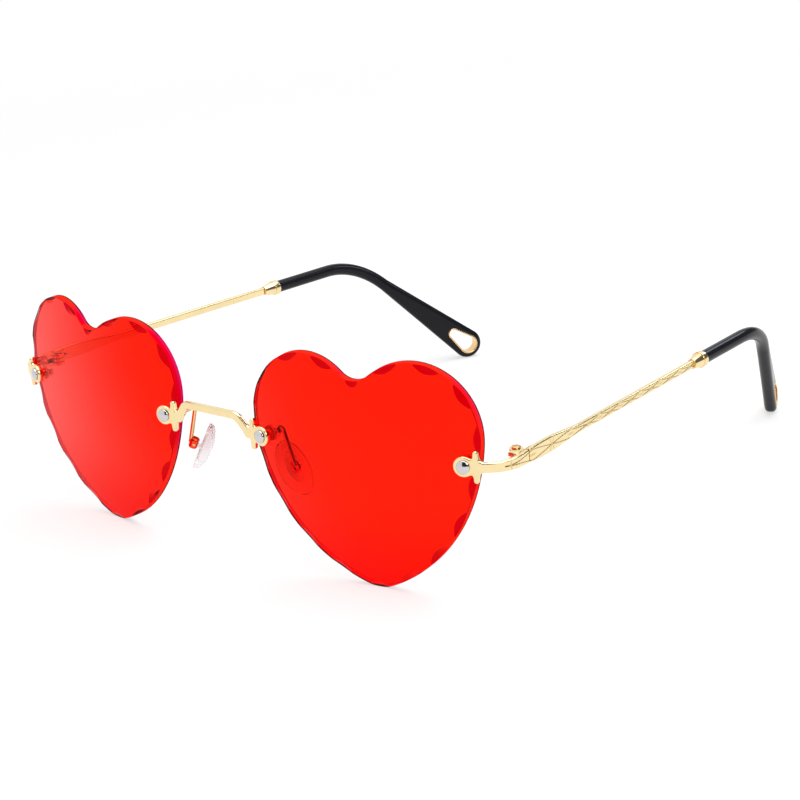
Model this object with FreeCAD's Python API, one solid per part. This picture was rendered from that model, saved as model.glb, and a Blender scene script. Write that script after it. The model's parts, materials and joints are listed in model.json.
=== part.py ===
import FreeCAD, Part
import math
import os

# Rimless heart shaped sunglasses, in millimetres and degrees.
# The wearer's left is +X, the lenses face -Y and +Z is up. The glasses stand open on a table,
# on the points of the two lenses and on the ends of the two temples, and the origin is in the
# middle of that footprint. Each left piece is modelled, and its right twin is its mirror image.

# Lens blank
LENS_WIDTH = 58.0
LENS_HEIGHT = 52.4
LENS_THICKNESS = 2.0
LENS_FACE_RADIUS = 116.0
LENS_GAP = 24.7
LENS_WRAP = 7.6
LENS_TILT = 2.8

# Heart outline
OUTER_LOBE_RADIUS = 15.7
INNER_LOBE_RADIUS = 15.8
INNER_LOBE_DROP = 0.6
POINT_RADIUS = 7.7
POINT_SHIFT = 0.6
OUTER_FLANK_RADIUS = 41.0
INNER_FLANK_RADIUS = 40.0
NOTCH_RADIUS = 5.7

# Scalloped facets ground into the back edge of the lens
FACET_COUNT = 17
FACET_DEPTH = 0.8
FACET_ANGLE = 72.0
WHEEL_RADIUS = 20.0
WHEEL_WIDTH = 3.2
NOTCH_WHEEL_RADIUS = 4.5
NOTCH_FACET_DEPTH = 0.6

# Lens screws, with their sleeves, washers and nuts
BRIDGE_SCREW_TO_EDGE = 2.7
ENDPIECE_SCREW_TO_EDGE = 3.0
SCREW_DIAMETER = 1.4
HEAD_DIAMETER = 3.0
HEAD_RIM = 0.3
HEAD_HEIGHT = 0.8
SLEEVE_DIAMETER = 2.2
WASHER_DIAMETER = 3.4
WASHER_THICKNESS = 0.4
NUT_WIDTH = 2.4
NUT_HEIGHT = 1.3

# Lugs, bridge and endpieces, cut from one gauge of sheet
SHEET = 1.2
LUG_DIAMETER = 4.5
PRONG_OFFSET = 2.7
PRONG_SPAN = 7.1
PRONG_WIDTH = 1.5
STRIP_HEIGHT = 2.1
BRIDGE_EDGE_GAP = 1.5
BRIDGE_BAR_LENGTH = 16.8
BRIDGE_BAR_HEIGHT = 1.75
BRIDGE_RISE = 3.6
BRIDGE_BOW = 1.2
BRIDGE_CORNER_RADIUS = 2.0
ENDPIECE_EDGE_GAP = 0.4
ENDPIECE_BEND_RADIUS = 7.6
ENDPIECE_TAIL = 3.2

# Hinge
HINGE_INSET = 3.3
HINGE_HEIGHT = 2.8
HINGE_LEAF_LENGTH = 3.0
HINGE_LEAF_THICKNESS = 0.4
KNUCKLE_DIAMETER = 3.0
HINGE_PIN_DIAMETER = 1.1
HINGE_HEAD_DIAMETER = 2.0
HINGE_HEAD_HEIGHT = 0.4

# Temple arm with its core wire
TEMPLE_TOE_IN = 5.0
TEMPLE_TO_KNEE = 100.6
TEMPLE_STRIP_LENGTH = 68.3
TEMPLE_SEAM_HEIGHT = 2.9
TEMPLE_SWELL_HEIGHT = 3.4
TEMPLE_SWELL_AT = 7.0
TEMPLE_SLIM_HEIGHT = 1.8
TEMPLE_SLIM_AT = 21.0
CORE_DIAMETER = 1.4
CORE_END_MARGIN = 14.0

# Ferrule, black tip and eyelet
FERRULE_LENGTH = 4.6
FERRULE_RING_LENGTH = 1.5
FERRULE_RING_DIAMETER = 3.8
FERRULE_NECK_DIAMETER = 2.3
FERRULE_SOCKET = 1.0
TIP_DIAMETER = 3.1
TIP_TOE_IN = 24.3
TIP_DROP = 41.8
TIP_BEND_RADIUS = 22.5
PADDLE_WIDTH = 7.8
PADDLE_THICKNESS = 3.0
PADDLE_CORNER = 1.2
EYELET_BIG_RADIUS = 2.6
EYELET_SMALL_RADIUS = 1.5
EYELET_LENGTH = 5.6
EYELET_WALL = 0.6
EYELET_PROUD = 0.4

# Nose pads, their arms and boxes
PAD_LENGTH = 13.2
PAD_WIDTH = 6.8
PAD_THICKNESS = 2.8
PAD_CROWN = 2.0
PAD_FROM_MIDDLE = 13.9
PAD_SETBACK = 9.2
PAD_BELOW_SCREW = 10.8
PAD_FRONTAL_ANGLE = 31.7
PAD_SPLAY = 30.0
PAD_INSERT_LENGTH = 7.0
PAD_INSERT_WIDTH = 3.2
PAD_INSERT_THICKNESS = 0.6
PAD_STUD_THICKNESS = 0.85
PAD_STUD_RADIUS = 0.65
PAD_STUD_REACH = 1.5
PAD_BOX_LENGTH = 3.0
PAD_BOX_ROUNDING = 1.7
PAD_BOX_FRONT = 0.9
PAD_BOX_WALL = 0.5
PAD_SCREW_DIAMETER = 0.7
PAD_SCREW_HEAD_DIAMETER = 1.2
PAD_SCREW_HEAD_HEIGHT = 0.3
PAD_WIRE_DIAMETER = 1.0
PAD_WIRE_SETBACK = 4.2
PAD_WIRE_BEND_RADIUS = 1.4
PAD_PLATE_THICKNESS = 0.7
PAD_PLATE_RADIUS = 1.8
PAD_PLATE_REACH = 2.1
PAD_PLATE_LEAN = 95.0
PAD_PLATE_TAB_RADIUS = 1.1

# Clearances
SEAT = 0.02
RUNNING = 0.04
SEAM_GAP = 0.1
KNUCKLE_GAP = 0.08
STUD_GAP = 0.06

Vector = FreeCAD.Vector
ORIGIN = Vector(0, 0, 0)
X_AXIS = Vector(1, 0, 0)
Y_AXIS = Vector(0, 1, 0)
Z_AXIS = Vector(0, 0, 1)


def polar(angle, length=1.0):
    """A vector in the XY plane."""
    return Vector(length * math.cos(math.radians(angle)), length * math.sin(math.radians(angle)), 0)


def turned(shape, rotation, base=ORIGIN):
    """A copy of a shape, turned about the origin and then moved to base."""
    copy = shape.copy()
    copy.Placement = FreeCAD.Placement(base, rotation).multiply(copy.Placement)
    return copy


def about_z(angle):
    return FreeCAD.Rotation(Z_AXIS, angle)


def axes_rotation(x_dir, y_dir, z_dir):
    """The rotation that takes X, Y and Z to three given square directions."""
    return FreeCAD.Rotation(x_dir, y_dir, z_dir, "XYZ")


def disc(radius, y_from, y_to, x=0.0, z=0.0):
    """A cylinder along Y."""
    return Part.makeCylinder(radius, y_to - y_from, Vector(x, y_from, z), Y_AXIS)


def block(x_from, x_to, y_from, y_to, z_from, z_to):
    corner = Vector(x_from, y_from, z_from)
    return Part.makeBox(x_to - x_from, y_to - y_from, z_to - z_from, corner)


def turned_profile(points, axis_from, axis_dir):
    """A solid of revolution from a closed profile of straight lines."""
    face = Part.Face(Part.makePolygon(points + points[:1]))
    return face.revolve(axis_from, axis_dir, 360)


def fused(first, *others):
    return first.fuse(list(others)).removeSplitter()


# Heart outline: a chain of arcs that run into each other, seen from the front in X and Z

def circles_meet(centre_a, radius_a, centre_b, radius_b, side):
    """Where two circles in XZ cross; side picks one of the two points."""
    line = centre_b - centre_a
    span = line.Length
    along = (radius_a ** 2 - radius_b ** 2 + span ** 2) / (2 * span)
    away = math.sqrt(radius_a ** 2 - along ** 2)
    unit = line / span
    return centre_a + unit * along + Vector(-unit.z, 0, unit.x) * (away * side)


def on_circle(centre, radius, towards):
    return centre + (towards - centre).normalize() * radius


def arc(centre, radius, start, end, bulge):
    """A circular edge from start to end that bulges towards a direction."""
    middle = (start + end) / 2 - centre
    if middle.dot(bulge) < 0:
        middle = -middle
    return Part.Arc(start, on_circle(centre, radius, centre + middle), end).toShape()


HALF_WIDTH = LENS_WIDTH / 2
HALF_HEIGHT = LENS_HEIGHT / 2
OUTER_LOBE = Vector(HALF_WIDTH - OUTER_LOBE_RADIUS, 0, HALF_HEIGHT - OUTER_LOBE_RADIUS)
INNER_LOBE = Vector(INNER_LOBE_RADIUS - HALF_WIDTH, 0,
                    HALF_HEIGHT - INNER_LOBE_DROP - INNER_LOBE_RADIUS)
POINT = Vector(POINT_SHIFT, 0, POINT_RADIUS - HALF_HEIGHT)


def heart_edges():
    """The outline from the notch round the outer lobe, the point and the inner lobe, then the notch."""
    outer_flank = circles_meet(OUTER_LOBE, OUTER_FLANK_RADIUS - OUTER_LOBE_RADIUS,
                               POINT, OUTER_FLANK_RADIUS - POINT_RADIUS, -1)
    inner_flank = circles_meet(INNER_LOBE, INNER_FLANK_RADIUS - INNER_LOBE_RADIUS,
                               POINT, INNER_FLANK_RADIUS - POINT_RADIUS, 1)
    notch = circles_meet(OUTER_LOBE, OUTER_LOBE_RADIUS + NOTCH_RADIUS,
                         INNER_LOBE, INNER_LOBE_RADIUS + NOTCH_RADIUS, -1)
    notch_out = on_circle(OUTER_LOBE, OUTER_LOBE_RADIUS, notch)
    notch_in = on_circle(INNER_LOBE, INNER_LOBE_RADIUS, notch)
    lobe_out = on_circle(outer_flank, OUTER_FLANK_RADIUS, OUTER_LOBE)
    lobe_in = on_circle(inner_flank, INNER_FLANK_RADIUS, INNER_LOBE)
    point_out = on_circle(outer_flank, OUTER_FLANK_RADIUS, POINT)
    point_in = on_circle(inner_flank, INNER_FLANK_RADIUS, POINT)
    return [
        arc(OUTER_LOBE, OUTER_LOBE_RADIUS, notch_out, lobe_out, X_AXIS + Z_AXIS),
        arc(outer_flank, OUTER_FLANK_RADIUS, lobe_out, point_out, X_AXIS - Z_AXIS),
        arc(POINT, POINT_RADIUS, point_out, point_in, -Z_AXIS),
        arc(inner_flank, INNER_FLANK_RADIUS, point_in, lobe_in, -X_AXIS - Z_AXIS),
        arc(INNER_LOBE, INNER_LOBE_RADIUS, lobe_in, notch_in, Z_AXIS - X_AXIS),
        arc(notch, NOTCH_RADIUS, notch_in, notch_out, -Z_AXIS),
    ]


# Lens: a slice of a thick spherical shell, with the heart as its edge

BACK_RADIUS = LENS_FACE_RADIUS - LENS_THICKNESS
SHELL_CENTRE = Vector(0, LENS_FACE_RADIUS, 0)
LENS_CENTRE_X = LENS_GAP / 2 + HALF_WIDTH * math.cos(math.radians(LENS_WRAP))
LENS_ROTATION = about_z(LENS_WRAP).multiply(FreeCAD.Rotation(X_AXIS, LENS_TILT))
LENS_BASE = Vector(LENS_CENTRE_X, 0, 0)


def shell_depth(point, radius):
    """How far back a concentric face of the lens lies at a point of the outline."""
    return LENS_FACE_RADIUS - math.sqrt(radius ** 2 - point.x ** 2 - point.z ** 2)


def lens_to_frame(point):
    return LENS_ROTATION.multVec(point) + LENS_BASE


def edge_reach(height, side):
    """How far out the outline lies at a height, on one side of the middle."""
    level = Part.makeLine(Vector(0, 0, height), Vector(side * LENS_WIDTH, 0, height))
    inside = Part.Face(Part.Wire(heart_edges())).common(level)
    return max(side * vertex.X for vertex in inside.Vertexes)


def screw_point(side, inset):
    """The screw centre on the front face, at the height where that face stands upright."""
    lean = math.sin(math.radians(LENS_TILT))
    height = 0.0
    reach = 0.0
    for _ in range(20):
        reach = edge_reach(height, side) - inset
        height = math.sqrt(LENS_FACE_RADIUS ** 2 - reach ** 2) * lean
    flat = Vector(side * reach, 0, height)
    return flat + Y_AXIS * shell_depth(flat, LENS_FACE_RADIUS)


OUTER_SCREW_IN_LENS = screw_point(1, ENDPIECE_SCREW_TO_EDGE)
INNER_SCREW_IN_LENS = screw_point(-1, BRIDGE_SCREW_TO_EDGE)
OUTER_SCREW = lens_to_frame(OUTER_SCREW_IN_LENS)
INNER_SCREW = lens_to_frame(INNER_SCREW_IN_LENS)


def screw_angle(point_in_lens):
    """The turn about Z of the lens face at a screw."""
    normal = LENS_ROTATION.multVec(SHELL_CENTRE - point_in_lens)
    return -math.degrees(math.atan2(normal.x, normal.y))


OUTER_ANGLE = screw_angle(OUTER_SCREW_IN_LENS)
INNER_ANGLE = screw_angle(INNER_SCREW_IN_LENS)


def at_outer_screw(shape):
    return turned(shape, about_z(OUTER_ANGLE), OUTER_SCREW)


def at_inner_screw(shape):
    return turned(shape, about_z(INNER_ANGLE), INNER_SCREW)


def facet_wheel(point, tangent, radius, depth):
    """A grinding wheel that takes one scallop off the back edge of the lens."""
    outward = Y_AXIS.cross(tangent).normalize()
    slope = math.radians(FACET_ANGLE)
    away = outward * math.cos(slope) + Y_AXIS * math.sin(slope)
    along = outward * math.sin(slope) - Y_AXIS * math.cos(slope)
    edge = point + Y_AXIS * shell_depth(point, BACK_RADIUS)
    start = edge + away * (radius - depth) - along * (WHEEL_WIDTH / 2)
    return Part.makeCylinder(radius, WHEEL_WIDTH, start, along)


def facet_wheels(edges):
    """Wheels at an even pitch round the convex outline, and one small one in the notch."""
    wheels = []
    lengths = [edge.Length for edge in edges[:-1]]
    pitch = sum(lengths) / FACET_COUNT
    for number in range(FACET_COUNT):
        travel = (number + 0.5) * pitch
        index = 0
        while travel > lengths[index]:
            travel -= lengths[index]
            index += 1
        parameter = edges[index].getParameterByLength(travel)
        place = edges[index].valueAt(parameter)
        tangent = edges[index].tangentAt(parameter)
        wheels.append(facet_wheel(place, tangent, WHEEL_RADIUS, FACET_DEPTH))
    notch = edges[-1]
    parameter = notch.getParameterByLength(notch.Length / 2)
    wheels.append(facet_wheel(notch.valueAt(parameter), notch.tangentAt(parameter),
                              NOTCH_WHEEL_RADIUS, NOTCH_FACET_DEPTH))
    return wheels


def lens():
    edges = heart_edges()
    deepest = LENS_FACE_RADIUS - math.sqrt(BACK_RADIUS ** 2 - LENS_WIDTH ** 2 / 2)
    prism = Part.Face(Part.Wire(edges)).extrude(Y_AXIS * deepest)
    front = Part.makeSphere(LENS_FACE_RADIUS, SHELL_CENTRE)
    back = Part.makeSphere(BACK_RADIUS, SHELL_CENTRE)
    blank = prism.common(front).cut(back)
    for wheel in facet_wheels(edges):
        blank = blank.cut(wheel)
    placed = turned(blank, LENS_ROTATION, LENS_BASE)
    hole = disc(SLEEVE_DIAMETER / 2 + SEAT, -SHEET, LENS_THICKNESS + SHEET)
    return placed.cut([at_outer_screw(hole), at_inner_screw(hole)])


# Lens fastenings, modelled at a screw: Y runs back through lug, lens, washer and nut

BRIDGE_STEM = BRIDGE_SCREW_TO_EDGE + BRIDGE_EDGE_GAP
ENDPIECE_STEM = ENDPIECE_SCREW_TO_EDGE + ENDPIECE_EDGE_GAP
WASHER_FROM = LENS_THICKNESS + SEAT
WASHER_TO = WASHER_FROM + WASHER_THICKNESS
PLATE_FROM = WASHER_TO + SEAT
PLATE_TO = PLATE_FROM + PAD_PLATE_THICKNESS
SCREW_BORE = SCREW_DIAMETER / 2 + SEAT


def lens_screw(nut_from):
    """A screw with a plain domed head, long enough to fill its nut."""
    radius = SCREW_DIAMETER / 2
    head_radius = HEAD_DIAMETER / 2
    crown = HEAD_HEIGHT - HEAD_RIM
    seat = -SHEET - SEAT
    dome_radius = (head_radius ** 2 + crown ** 2) / (2 * crown)
    dome = Part.makeSphere(dome_radius, Vector(0, seat - HEAD_HEIGHT + dome_radius, 0))
    head = disc(head_radius, seat - HEAD_HEIGHT, seat).common(dome)
    return fused(head, disc(radius, seat, nut_from + NUT_HEIGHT))


def lens_sleeve():
    tube = disc(SLEEVE_DIAMETER / 2, SEAT, LENS_THICKNESS)
    return tube.cut(disc(SCREW_BORE, 0, LENS_THICKNESS))


def lens_washer():
    ring = disc(WASHER_DIAMETER / 2, WASHER_FROM, WASHER_TO)
    return ring.cut(disc(SCREW_BORE, WASHER_FROM, WASHER_TO))


def lens_nut(nut_from):
    """A hexagon nut with its back corners rounded off."""
    corner = NUT_WIDTH / math.sqrt(3)
    points = []
    for side in range(7):
        turn = polar(60 * side, corner)
        points.append(Vector(turn.x, nut_from, turn.y))
    hexagon = Part.Face(Part.makePolygon(points)).extrude(Y_AXIS * NUT_HEIGHT)
    rounding = Part.makeSphere(NUT_WIDTH * 0.75, Vector(0, nut_from + NUT_HEIGHT / 4, 0))
    return hexagon.common(rounding).cut(disc(SCREW_BORE, nut_from, nut_from + NUT_HEIGHT))


def lug(side, front, back):
    """The round lug and its two prongs; side is the X direction in which the stem leaves."""
    prong_x = side * PRONG_OFFSET
    prong_radius = PRONG_WIDTH / 2
    prong_z = PRONG_SPAN / 2 - prong_radius
    neck_from = min(0, prong_x)
    neck_to = max(0, prong_x)
    half_strip = STRIP_HEIGHT / 2
    return fused(
        disc(LUG_DIAMETER / 2, front, back),
        block(neck_from, neck_to, front, back, -half_strip, half_strip),
        block(prong_x - prong_radius, prong_x + prong_radius, front, back, -prong_z, prong_z),
        disc(prong_radius, front, back, prong_x, prong_z),
        disc(prong_radius, front, back, prong_x, -prong_z))


# Bridge: what its front outline and its bent sheet, seen from above, have in common

def stroke(start, end, height, depth):
    """A bar of the front outline between two points in XZ, with round ends."""
    line = end - start
    turn = FreeCAD.Rotation(X_AXIS, line)
    bar = block(0, line.Length, -depth, depth, -height / 2, height / 2)
    return fused(turned(bar, turn, start),
                 disc(height / 2, -depth, depth, start.x, start.z),
                 disc(height / 2, -depth, depth, end.x, end.z))


def bent_bar(start, corner, end, radius, height, depth):
    """Two bars of the front outline with a rounded corner between them."""
    to_start = (start - corner).normalize()
    to_end = (end - corner).normalize()
    half_angle = to_start.getAngle(to_end) / 2
    hub = corner + (to_start + to_end).normalize() * (radius / math.sin(half_angle))
    bend_from = corner + to_start * (radius / math.tan(half_angle))
    bend_to = corner + to_end * (radius / math.tan(half_angle))
    wedge = [hub] + [hub + (point - hub) * 2 for point in (bend_from, corner, bend_to)] + [hub]
    sector = Part.Face(Part.makePolygon(wedge)).extrude(Y_AXIS * (2 * depth))
    sector.translate(Y_AXIS * -depth)
    band = disc(radius + height / 2, -depth, depth, hub.x, hub.z).cut(
        disc(radius - height / 2, -depth, depth, hub.x, hub.z)).common(sector)
    return fused(stroke(start, bend_from, height, depth), band, stroke(bend_to, end, height, depth))


def bridge_sheet():
    """The sheet seen from above: flat on both lugs, and bowed forward to a straight bar between them."""
    along = about_z(INNER_ANGLE).multVec(X_AXIS)
    forward = about_z(INNER_ANGLE).multVec(-Y_AXIS) * SHEET
    outer_back = INNER_SCREW + along * LUG_DIAMETER
    bend_back = INNER_SCREW - along * BRIDGE_STEM
    outer_front = outer_back + forward
    bend_front = bend_back - Y_AXIS * SHEET
    corner_back = Vector(BRIDGE_BAR_LENGTH / 2, bend_back.y - BRIDGE_BOW, 0)
    corner_front = corner_back - Y_AXIS * SHEET
    left = [corner_back, bend_back, outer_back, outer_front, bend_front, corner_front]
    right = [Vector(-point.x, point.y, point.z) for point in reversed(left)]
    low = -LENS_HEIGHT / 2
    outline = [Vector(point.x, point.y, low) for point in left + right]
    return Part.Face(Part.makePolygon(outline + outline[:1])).extrude(Z_AXIS * LENS_HEIGHT)


def bridge():
    depth = LENS_WIDTH / 2
    half_bar = BRIDGE_BAR_LENGTH / 2
    stem_from = INNER_SCREW - about_z(INNER_ANGLE).multVec(X_AXIS) * PRONG_OFFSET
    stem_to = INNER_SCREW - about_z(INNER_ANGLE).multVec(X_AXIS) * BRIDGE_STEM
    stem_from.y = 0
    stem_to.y = 0
    corner = Vector(half_bar, 0, INNER_SCREW.z + BRIDGE_RISE)
    half = fused(at_inner_screw(lug(-1, -LUG_DIAMETER, LUG_DIAMETER)),
                 stroke(stem_from, stem_to, STRIP_HEIGHT, depth),
                 bent_bar(stem_to, corner, Vector(0, 0, corner.z), BRIDGE_CORNER_RADIUS,
                          BRIDGE_BAR_HEIGHT, depth))
    outline = fused(half, half.mirror(ORIGIN, X_AXIS))
    hole = at_inner_screw(disc(SCREW_BORE, -2 * SHEET, SHEET))
    solid = outline.common(bridge_sheet()).removeSplitter()
    return solid.cut([hole, hole.mirror(ORIGIN, X_AXIS)])


# Endpiece: the outer lug, with a strip that sweeps round to the hinge

FACE_START = OUTER_SCREW + about_z(OUTER_ANGLE).multVec(-Y_AXIS) * SHEET
TEMPLE_HEADING = 90 + TEMPLE_TOE_IN
BEND_START = FACE_START + polar(OUTER_ANGLE, ENDPIECE_STEM)
BEND_CENTRE = BEND_START + polar(OUTER_ANGLE + 90, ENDPIECE_BEND_RADIUS)
BEND_END = BEND_CENTRE + polar(TEMPLE_HEADING - 90, ENDPIECE_BEND_RADIUS)
SEAM = BEND_END + polar(TEMPLE_HEADING, ENDPIECE_TAIL)


def at_seam(shape):
    """Places a piece of the temple: Y runs back along it and X = 0 is its outer face."""
    return turned(shape, about_z(TEMPLE_TOE_IN), SEAM)


def bend_point(angle, radius):
    return BEND_CENTRE + polar(angle, radius)


def endpiece_flare():
    """The side view of the strip, which grows taller from the bend to the seam."""
    slim = STRIP_HEIGHT / 2
    tall = TEMPLE_SEAM_HEIGHT / 2
    stations = [(FACE_START.y - SHEET, slim), (BEND_START.y + SHEET, slim),
                (SEAM.y, tall), (SEAM.y + SHEET, tall)]
    upper = [Vector(0, y, SEAM.z + z) for y, z in stations]
    lower = [Vector(0, y, SEAM.z - z) for y, z in reversed(stations)]
    outline = upper + lower
    return Part.Face(Part.makePolygon(outline + outline[:1])).extrude(X_AXIS * LENS_WIDTH * 2)


def endpiece():
    inner_radius = ENDPIECE_BEND_RADIUS - SHEET
    first = OUTER_ANGLE - 90
    last = TEMPLE_HEADING - 90
    middle = (first + last) / 2
    inward = polar(last, -SHEET)
    lug_back = OUTER_SCREW
    outer_arc = Part.Arc(bend_point(first, ENDPIECE_BEND_RADIUS),
                         bend_point(middle, ENDPIECE_BEND_RADIUS),
                         bend_point(last, ENDPIECE_BEND_RADIUS))
    inner_arc = Part.Arc(bend_point(last, inner_radius), bend_point(middle, inner_radius),
                         bend_point(first, inner_radius))
    edges = [
        Part.LineSegment(FACE_START, bend_point(first, ENDPIECE_BEND_RADIUS)),
        outer_arc,
        Part.LineSegment(bend_point(last, ENDPIECE_BEND_RADIUS), SEAM),
        Part.LineSegment(SEAM, SEAM + inward),
        Part.LineSegment(SEAM + inward, bend_point(last, inner_radius)),
        inner_arc,
        Part.LineSegment(bend_point(first, inner_radius), lug_back),
        Part.LineSegment(lug_back, FACE_START),
    ]
    wire = Part.Wire([edge.toShape() for edge in edges])
    strip = Part.Face(wire).extrude(Z_AXIS * TEMPLE_SEAM_HEIGHT)
    strip.translate(Z_AXIS * (-TEMPLE_SEAM_HEIGHT / 2))
    body = fused(at_outer_screw(lug(1, -SHEET, 0)), strip.common(endpiece_flare()))
    return body.cut(at_outer_screw(disc(SCREW_BORE, -2 * SHEET, SHEET)))


# Hinge: two outer knuckles on the endpiece, one between them on the temple, and a screw

LEAF_FACE = -SHEET - SEAT
AXIS_X = -HINGE_INSET
KNUCKLE_RADIUS = KNUCKLE_DIAMETER / 2
KNUCKLE_HEIGHT = (HINGE_HEIGHT - 2 * KNUCKLE_GAP) / 3
HINGE_LOW = -HINGE_HEIGHT / 2


def knuckle(level, leaf_from, leaf_to):
    """One knuckle, with the web that joins it to its leaf."""
    low = HINGE_LOW + level * (KNUCKLE_HEIGHT + KNUCKLE_GAP)
    barrel = Part.makeCylinder(KNUCKLE_RADIUS, KNUCKLE_HEIGHT, Vector(AXIS_X, 0, low))
    web = block(AXIS_X, LEAF_FACE, leaf_from, leaf_to, low, low + KNUCKLE_HEIGHT)
    return fused(barrel, web)


def hinge_half(levels, leaf_from, leaf_to, bore):
    leaf_back = LEAF_FACE - HINGE_LEAF_THICKNESS
    leaf = block(leaf_back, LEAF_FACE, leaf_from, leaf_to, HINGE_LOW, -HINGE_LOW)
    knuckles = [knuckle(level, min(leaf_from, 0), max(leaf_to, 0)) for level in levels]
    pin_hole = Part.makeCylinder(bore, HINGE_HEIGHT, Vector(AXIS_X, 0, HINGE_LOW))
    return fused(leaf, *knuckles).cut(pin_hole)


def hinge_front():
    return hinge_half((0, 2), -HINGE_LEAF_LENGTH, -SEAM_GAP, HINGE_PIN_DIAMETER / 2 + SEAT)


def hinge_rear():
    clear = KNUCKLE_RADIUS + RUNNING
    swept = Part.makeCylinder(clear, HINGE_HEIGHT, Vector(AXIS_X, 0, HINGE_LOW))
    half = hinge_half((1,), SEAM_GAP, HINGE_LEAF_LENGTH, HINGE_PIN_DIAMETER / 2 + RUNNING)
    low = HINGE_LOW + KNUCKLE_HEIGHT + KNUCKLE_GAP
    kept = block(AXIS_X - clear, LEAF_FACE, -clear, HINGE_LEAF_LENGTH, low, low + KNUCKLE_HEIGHT)
    return half.cut(swept.cut(kept))


def hinge_screw():
    top = -HINGE_LOW + SEAT
    shank = Part.makeCylinder(HINGE_PIN_DIAMETER / 2, HINGE_HEIGHT + SEAT, Vector(AXIS_X, 0, HINGE_LOW))
    head = Part.makeCylinder(HINGE_HEAD_DIAMETER / 2, HINGE_HEAD_HEIGHT, Vector(AXIS_X, 0, top))
    return fused(shank, head)


# Temple: a swelling strip that runs into a round core wire, along one path with the tip

CENTRE_X = -SHEET / 2
TIP_DIR = FreeCAD.Rotation(Z_AXIS, TIP_TOE_IN).multVec(
    FreeCAD.Rotation(X_AXIS, -TIP_DROP).multVec(Y_AXIS))
KNEE = Vector(CENTRE_X, TEMPLE_TO_KNEE, 0)
FERRULE_FROM = TEMPLE_STRIP_LENGTH + SEAT
FERRULE_TO = FERRULE_FROM + FERRULE_LENGTH
TIP_FROM = FERRULE_TO - FERRULE_SOCKET + SEAT
PADDLE_RADIUS = PADDLE_WIDTH / 2
POINT_IN_LENS = Vector(0, 0, -HALF_HEIGHT)
TABLE_Z = lens_to_frame(POINT_IN_LENS + Y_AXIS * shell_depth(POINT_IN_LENS, LENS_FACE_RADIUS)).z
TIP_ARM = (SEAM.z - TABLE_Z - PADDLE_RADIUS) / math.sin(math.radians(TIP_DROP))
TIP_END = KNEE + TIP_DIR * TIP_ARM
KNEE_TURN = math.acos(TIP_DIR.y)
KNEE_CUT = TIP_BEND_RADIUS * math.tan(KNEE_TURN / 2)
PADDLE_START = KNEE + TIP_DIR * (KNEE_CUT + SHEET)


def bent_path(start, corner, end, radius):
    """Two straight runs joined by a tangent arc."""
    first = (corner - start).normalize()
    second = (end - corner).normalize()
    half_turn = first.getAngle(second) / 2
    cut = radius * math.tan(half_turn)
    arc_from = corner - first * cut
    arc_to = corner + second * cut
    inside = (second - first).normalize()
    middle = corner + inside * (radius / math.cos(half_turn) - radius)
    return Part.Wire([
        Part.LineSegment(start, arc_from).toShape(),
        Part.Arc(arc_from, middle, arc_to).toShape(),
        Part.LineSegment(arc_to, end).toShape()])


def rod(path, radius):
    """A round rod along a path."""
    start = path.OrderedEdges[0]
    heading = start.tangentAt(start.FirstParameter)
    ring = Part.Wire(Part.makeCircle(radius, start.valueAt(start.FirstParameter), heading))
    return path.makePipeShell([ring], True, False)


def temple_edge(side):
    """The upper or lower edge of the strip: a swell behind the seam, then a slim straight run."""
    seam = Vector(0, SEAM_GAP, side * TEMPLE_SEAM_HEIGHT / 2)
    swell = Vector(0, TEMPLE_SWELL_AT, side * TEMPLE_SWELL_HEIGHT / 2)
    slim = Vector(0, TEMPLE_SLIM_AT, side * TEMPLE_SLIM_HEIGHT / 2)
    end = Vector(0, TEMPLE_STRIP_LENGTH, slim.z)
    rise = Part.BSplineCurve()
    rise.interpolate(Points=[seam, swell], InitialTangent=swell - seam, FinalTangent=Y_AXIS)
    fall = Part.BSplineCurve()
    fall.interpolate(Points=[swell, slim], InitialTangent=Y_AXIS, FinalTangent=Y_AXIS)
    return [rise.toShape(), fall.toShape(), Part.makeLine(slim, end)]


def temple():
    upper = temple_edge(1)
    lower = temple_edge(-1)
    ends = [Part.makeLine(upper[0].Vertexes[0].Point, lower[0].Vertexes[0].Point),
            Part.makeLine(upper[-1].Vertexes[-1].Point, lower[-1].Vertexes[-1].Point)]
    wire = Part.Wire(Part.sortEdges(upper + lower + ends)[0])
    strip = Part.Face(wire).extrude(X_AXIS * -SHEET)
    core_start = Vector(CENTRE_X, TEMPLE_STRIP_LENGTH - CORE_DIAMETER, 0)
    core_end = TIP_END - TIP_DIR * CORE_END_MARGIN
    core = rod(bent_path(core_start, KNEE, core_end, TIP_BEND_RADIUS), CORE_DIAMETER / 2)
    return strip.fuse(core)


def ferrule():
    """A bell that flares from the temple to a ring round the front of the tip."""
    neck = FERRULE_NECK_DIAMETER / 2
    ring = FERRULE_RING_DIAMETER / 2
    bore = CORE_DIAMETER / 2 + SEAT
    socket = TIP_DIAMETER / 2 + SEAT
    ring_from = FERRULE_TO - FERRULE_RING_LENGTH
    waist = (FERRULE_FROM + ring_from) / 2
    socket_floor = FERRULE_TO - FERRULE_SOCKET
    profile = [(bore, FERRULE_FROM), (neck, FERRULE_FROM), (neck, waist), (socket, ring_from),
               (ring, ring_from), (ring, FERRULE_TO), (socket, FERRULE_TO), (socket, socket_floor),
               (bore, socket_floor)]
    points = [Vector(CENTRE_X + radius, y, 0) for radius, y in profile]
    return turned_profile(points, Vector(CENTRE_X, 0, 0), Y_AXIS)


# Tip: a tube over the core wire that bends down and in, and widens into a flat paddle

PADDLE_SIDE = Z_AXIS.cross(TIP_DIR).normalize()
PADDLE_UP = TIP_DIR.cross(PADDLE_SIDE)
PADDLE_ROTATION = axes_rotation(PADDLE_SIDE, TIP_DIR, PADDLE_UP)


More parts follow.
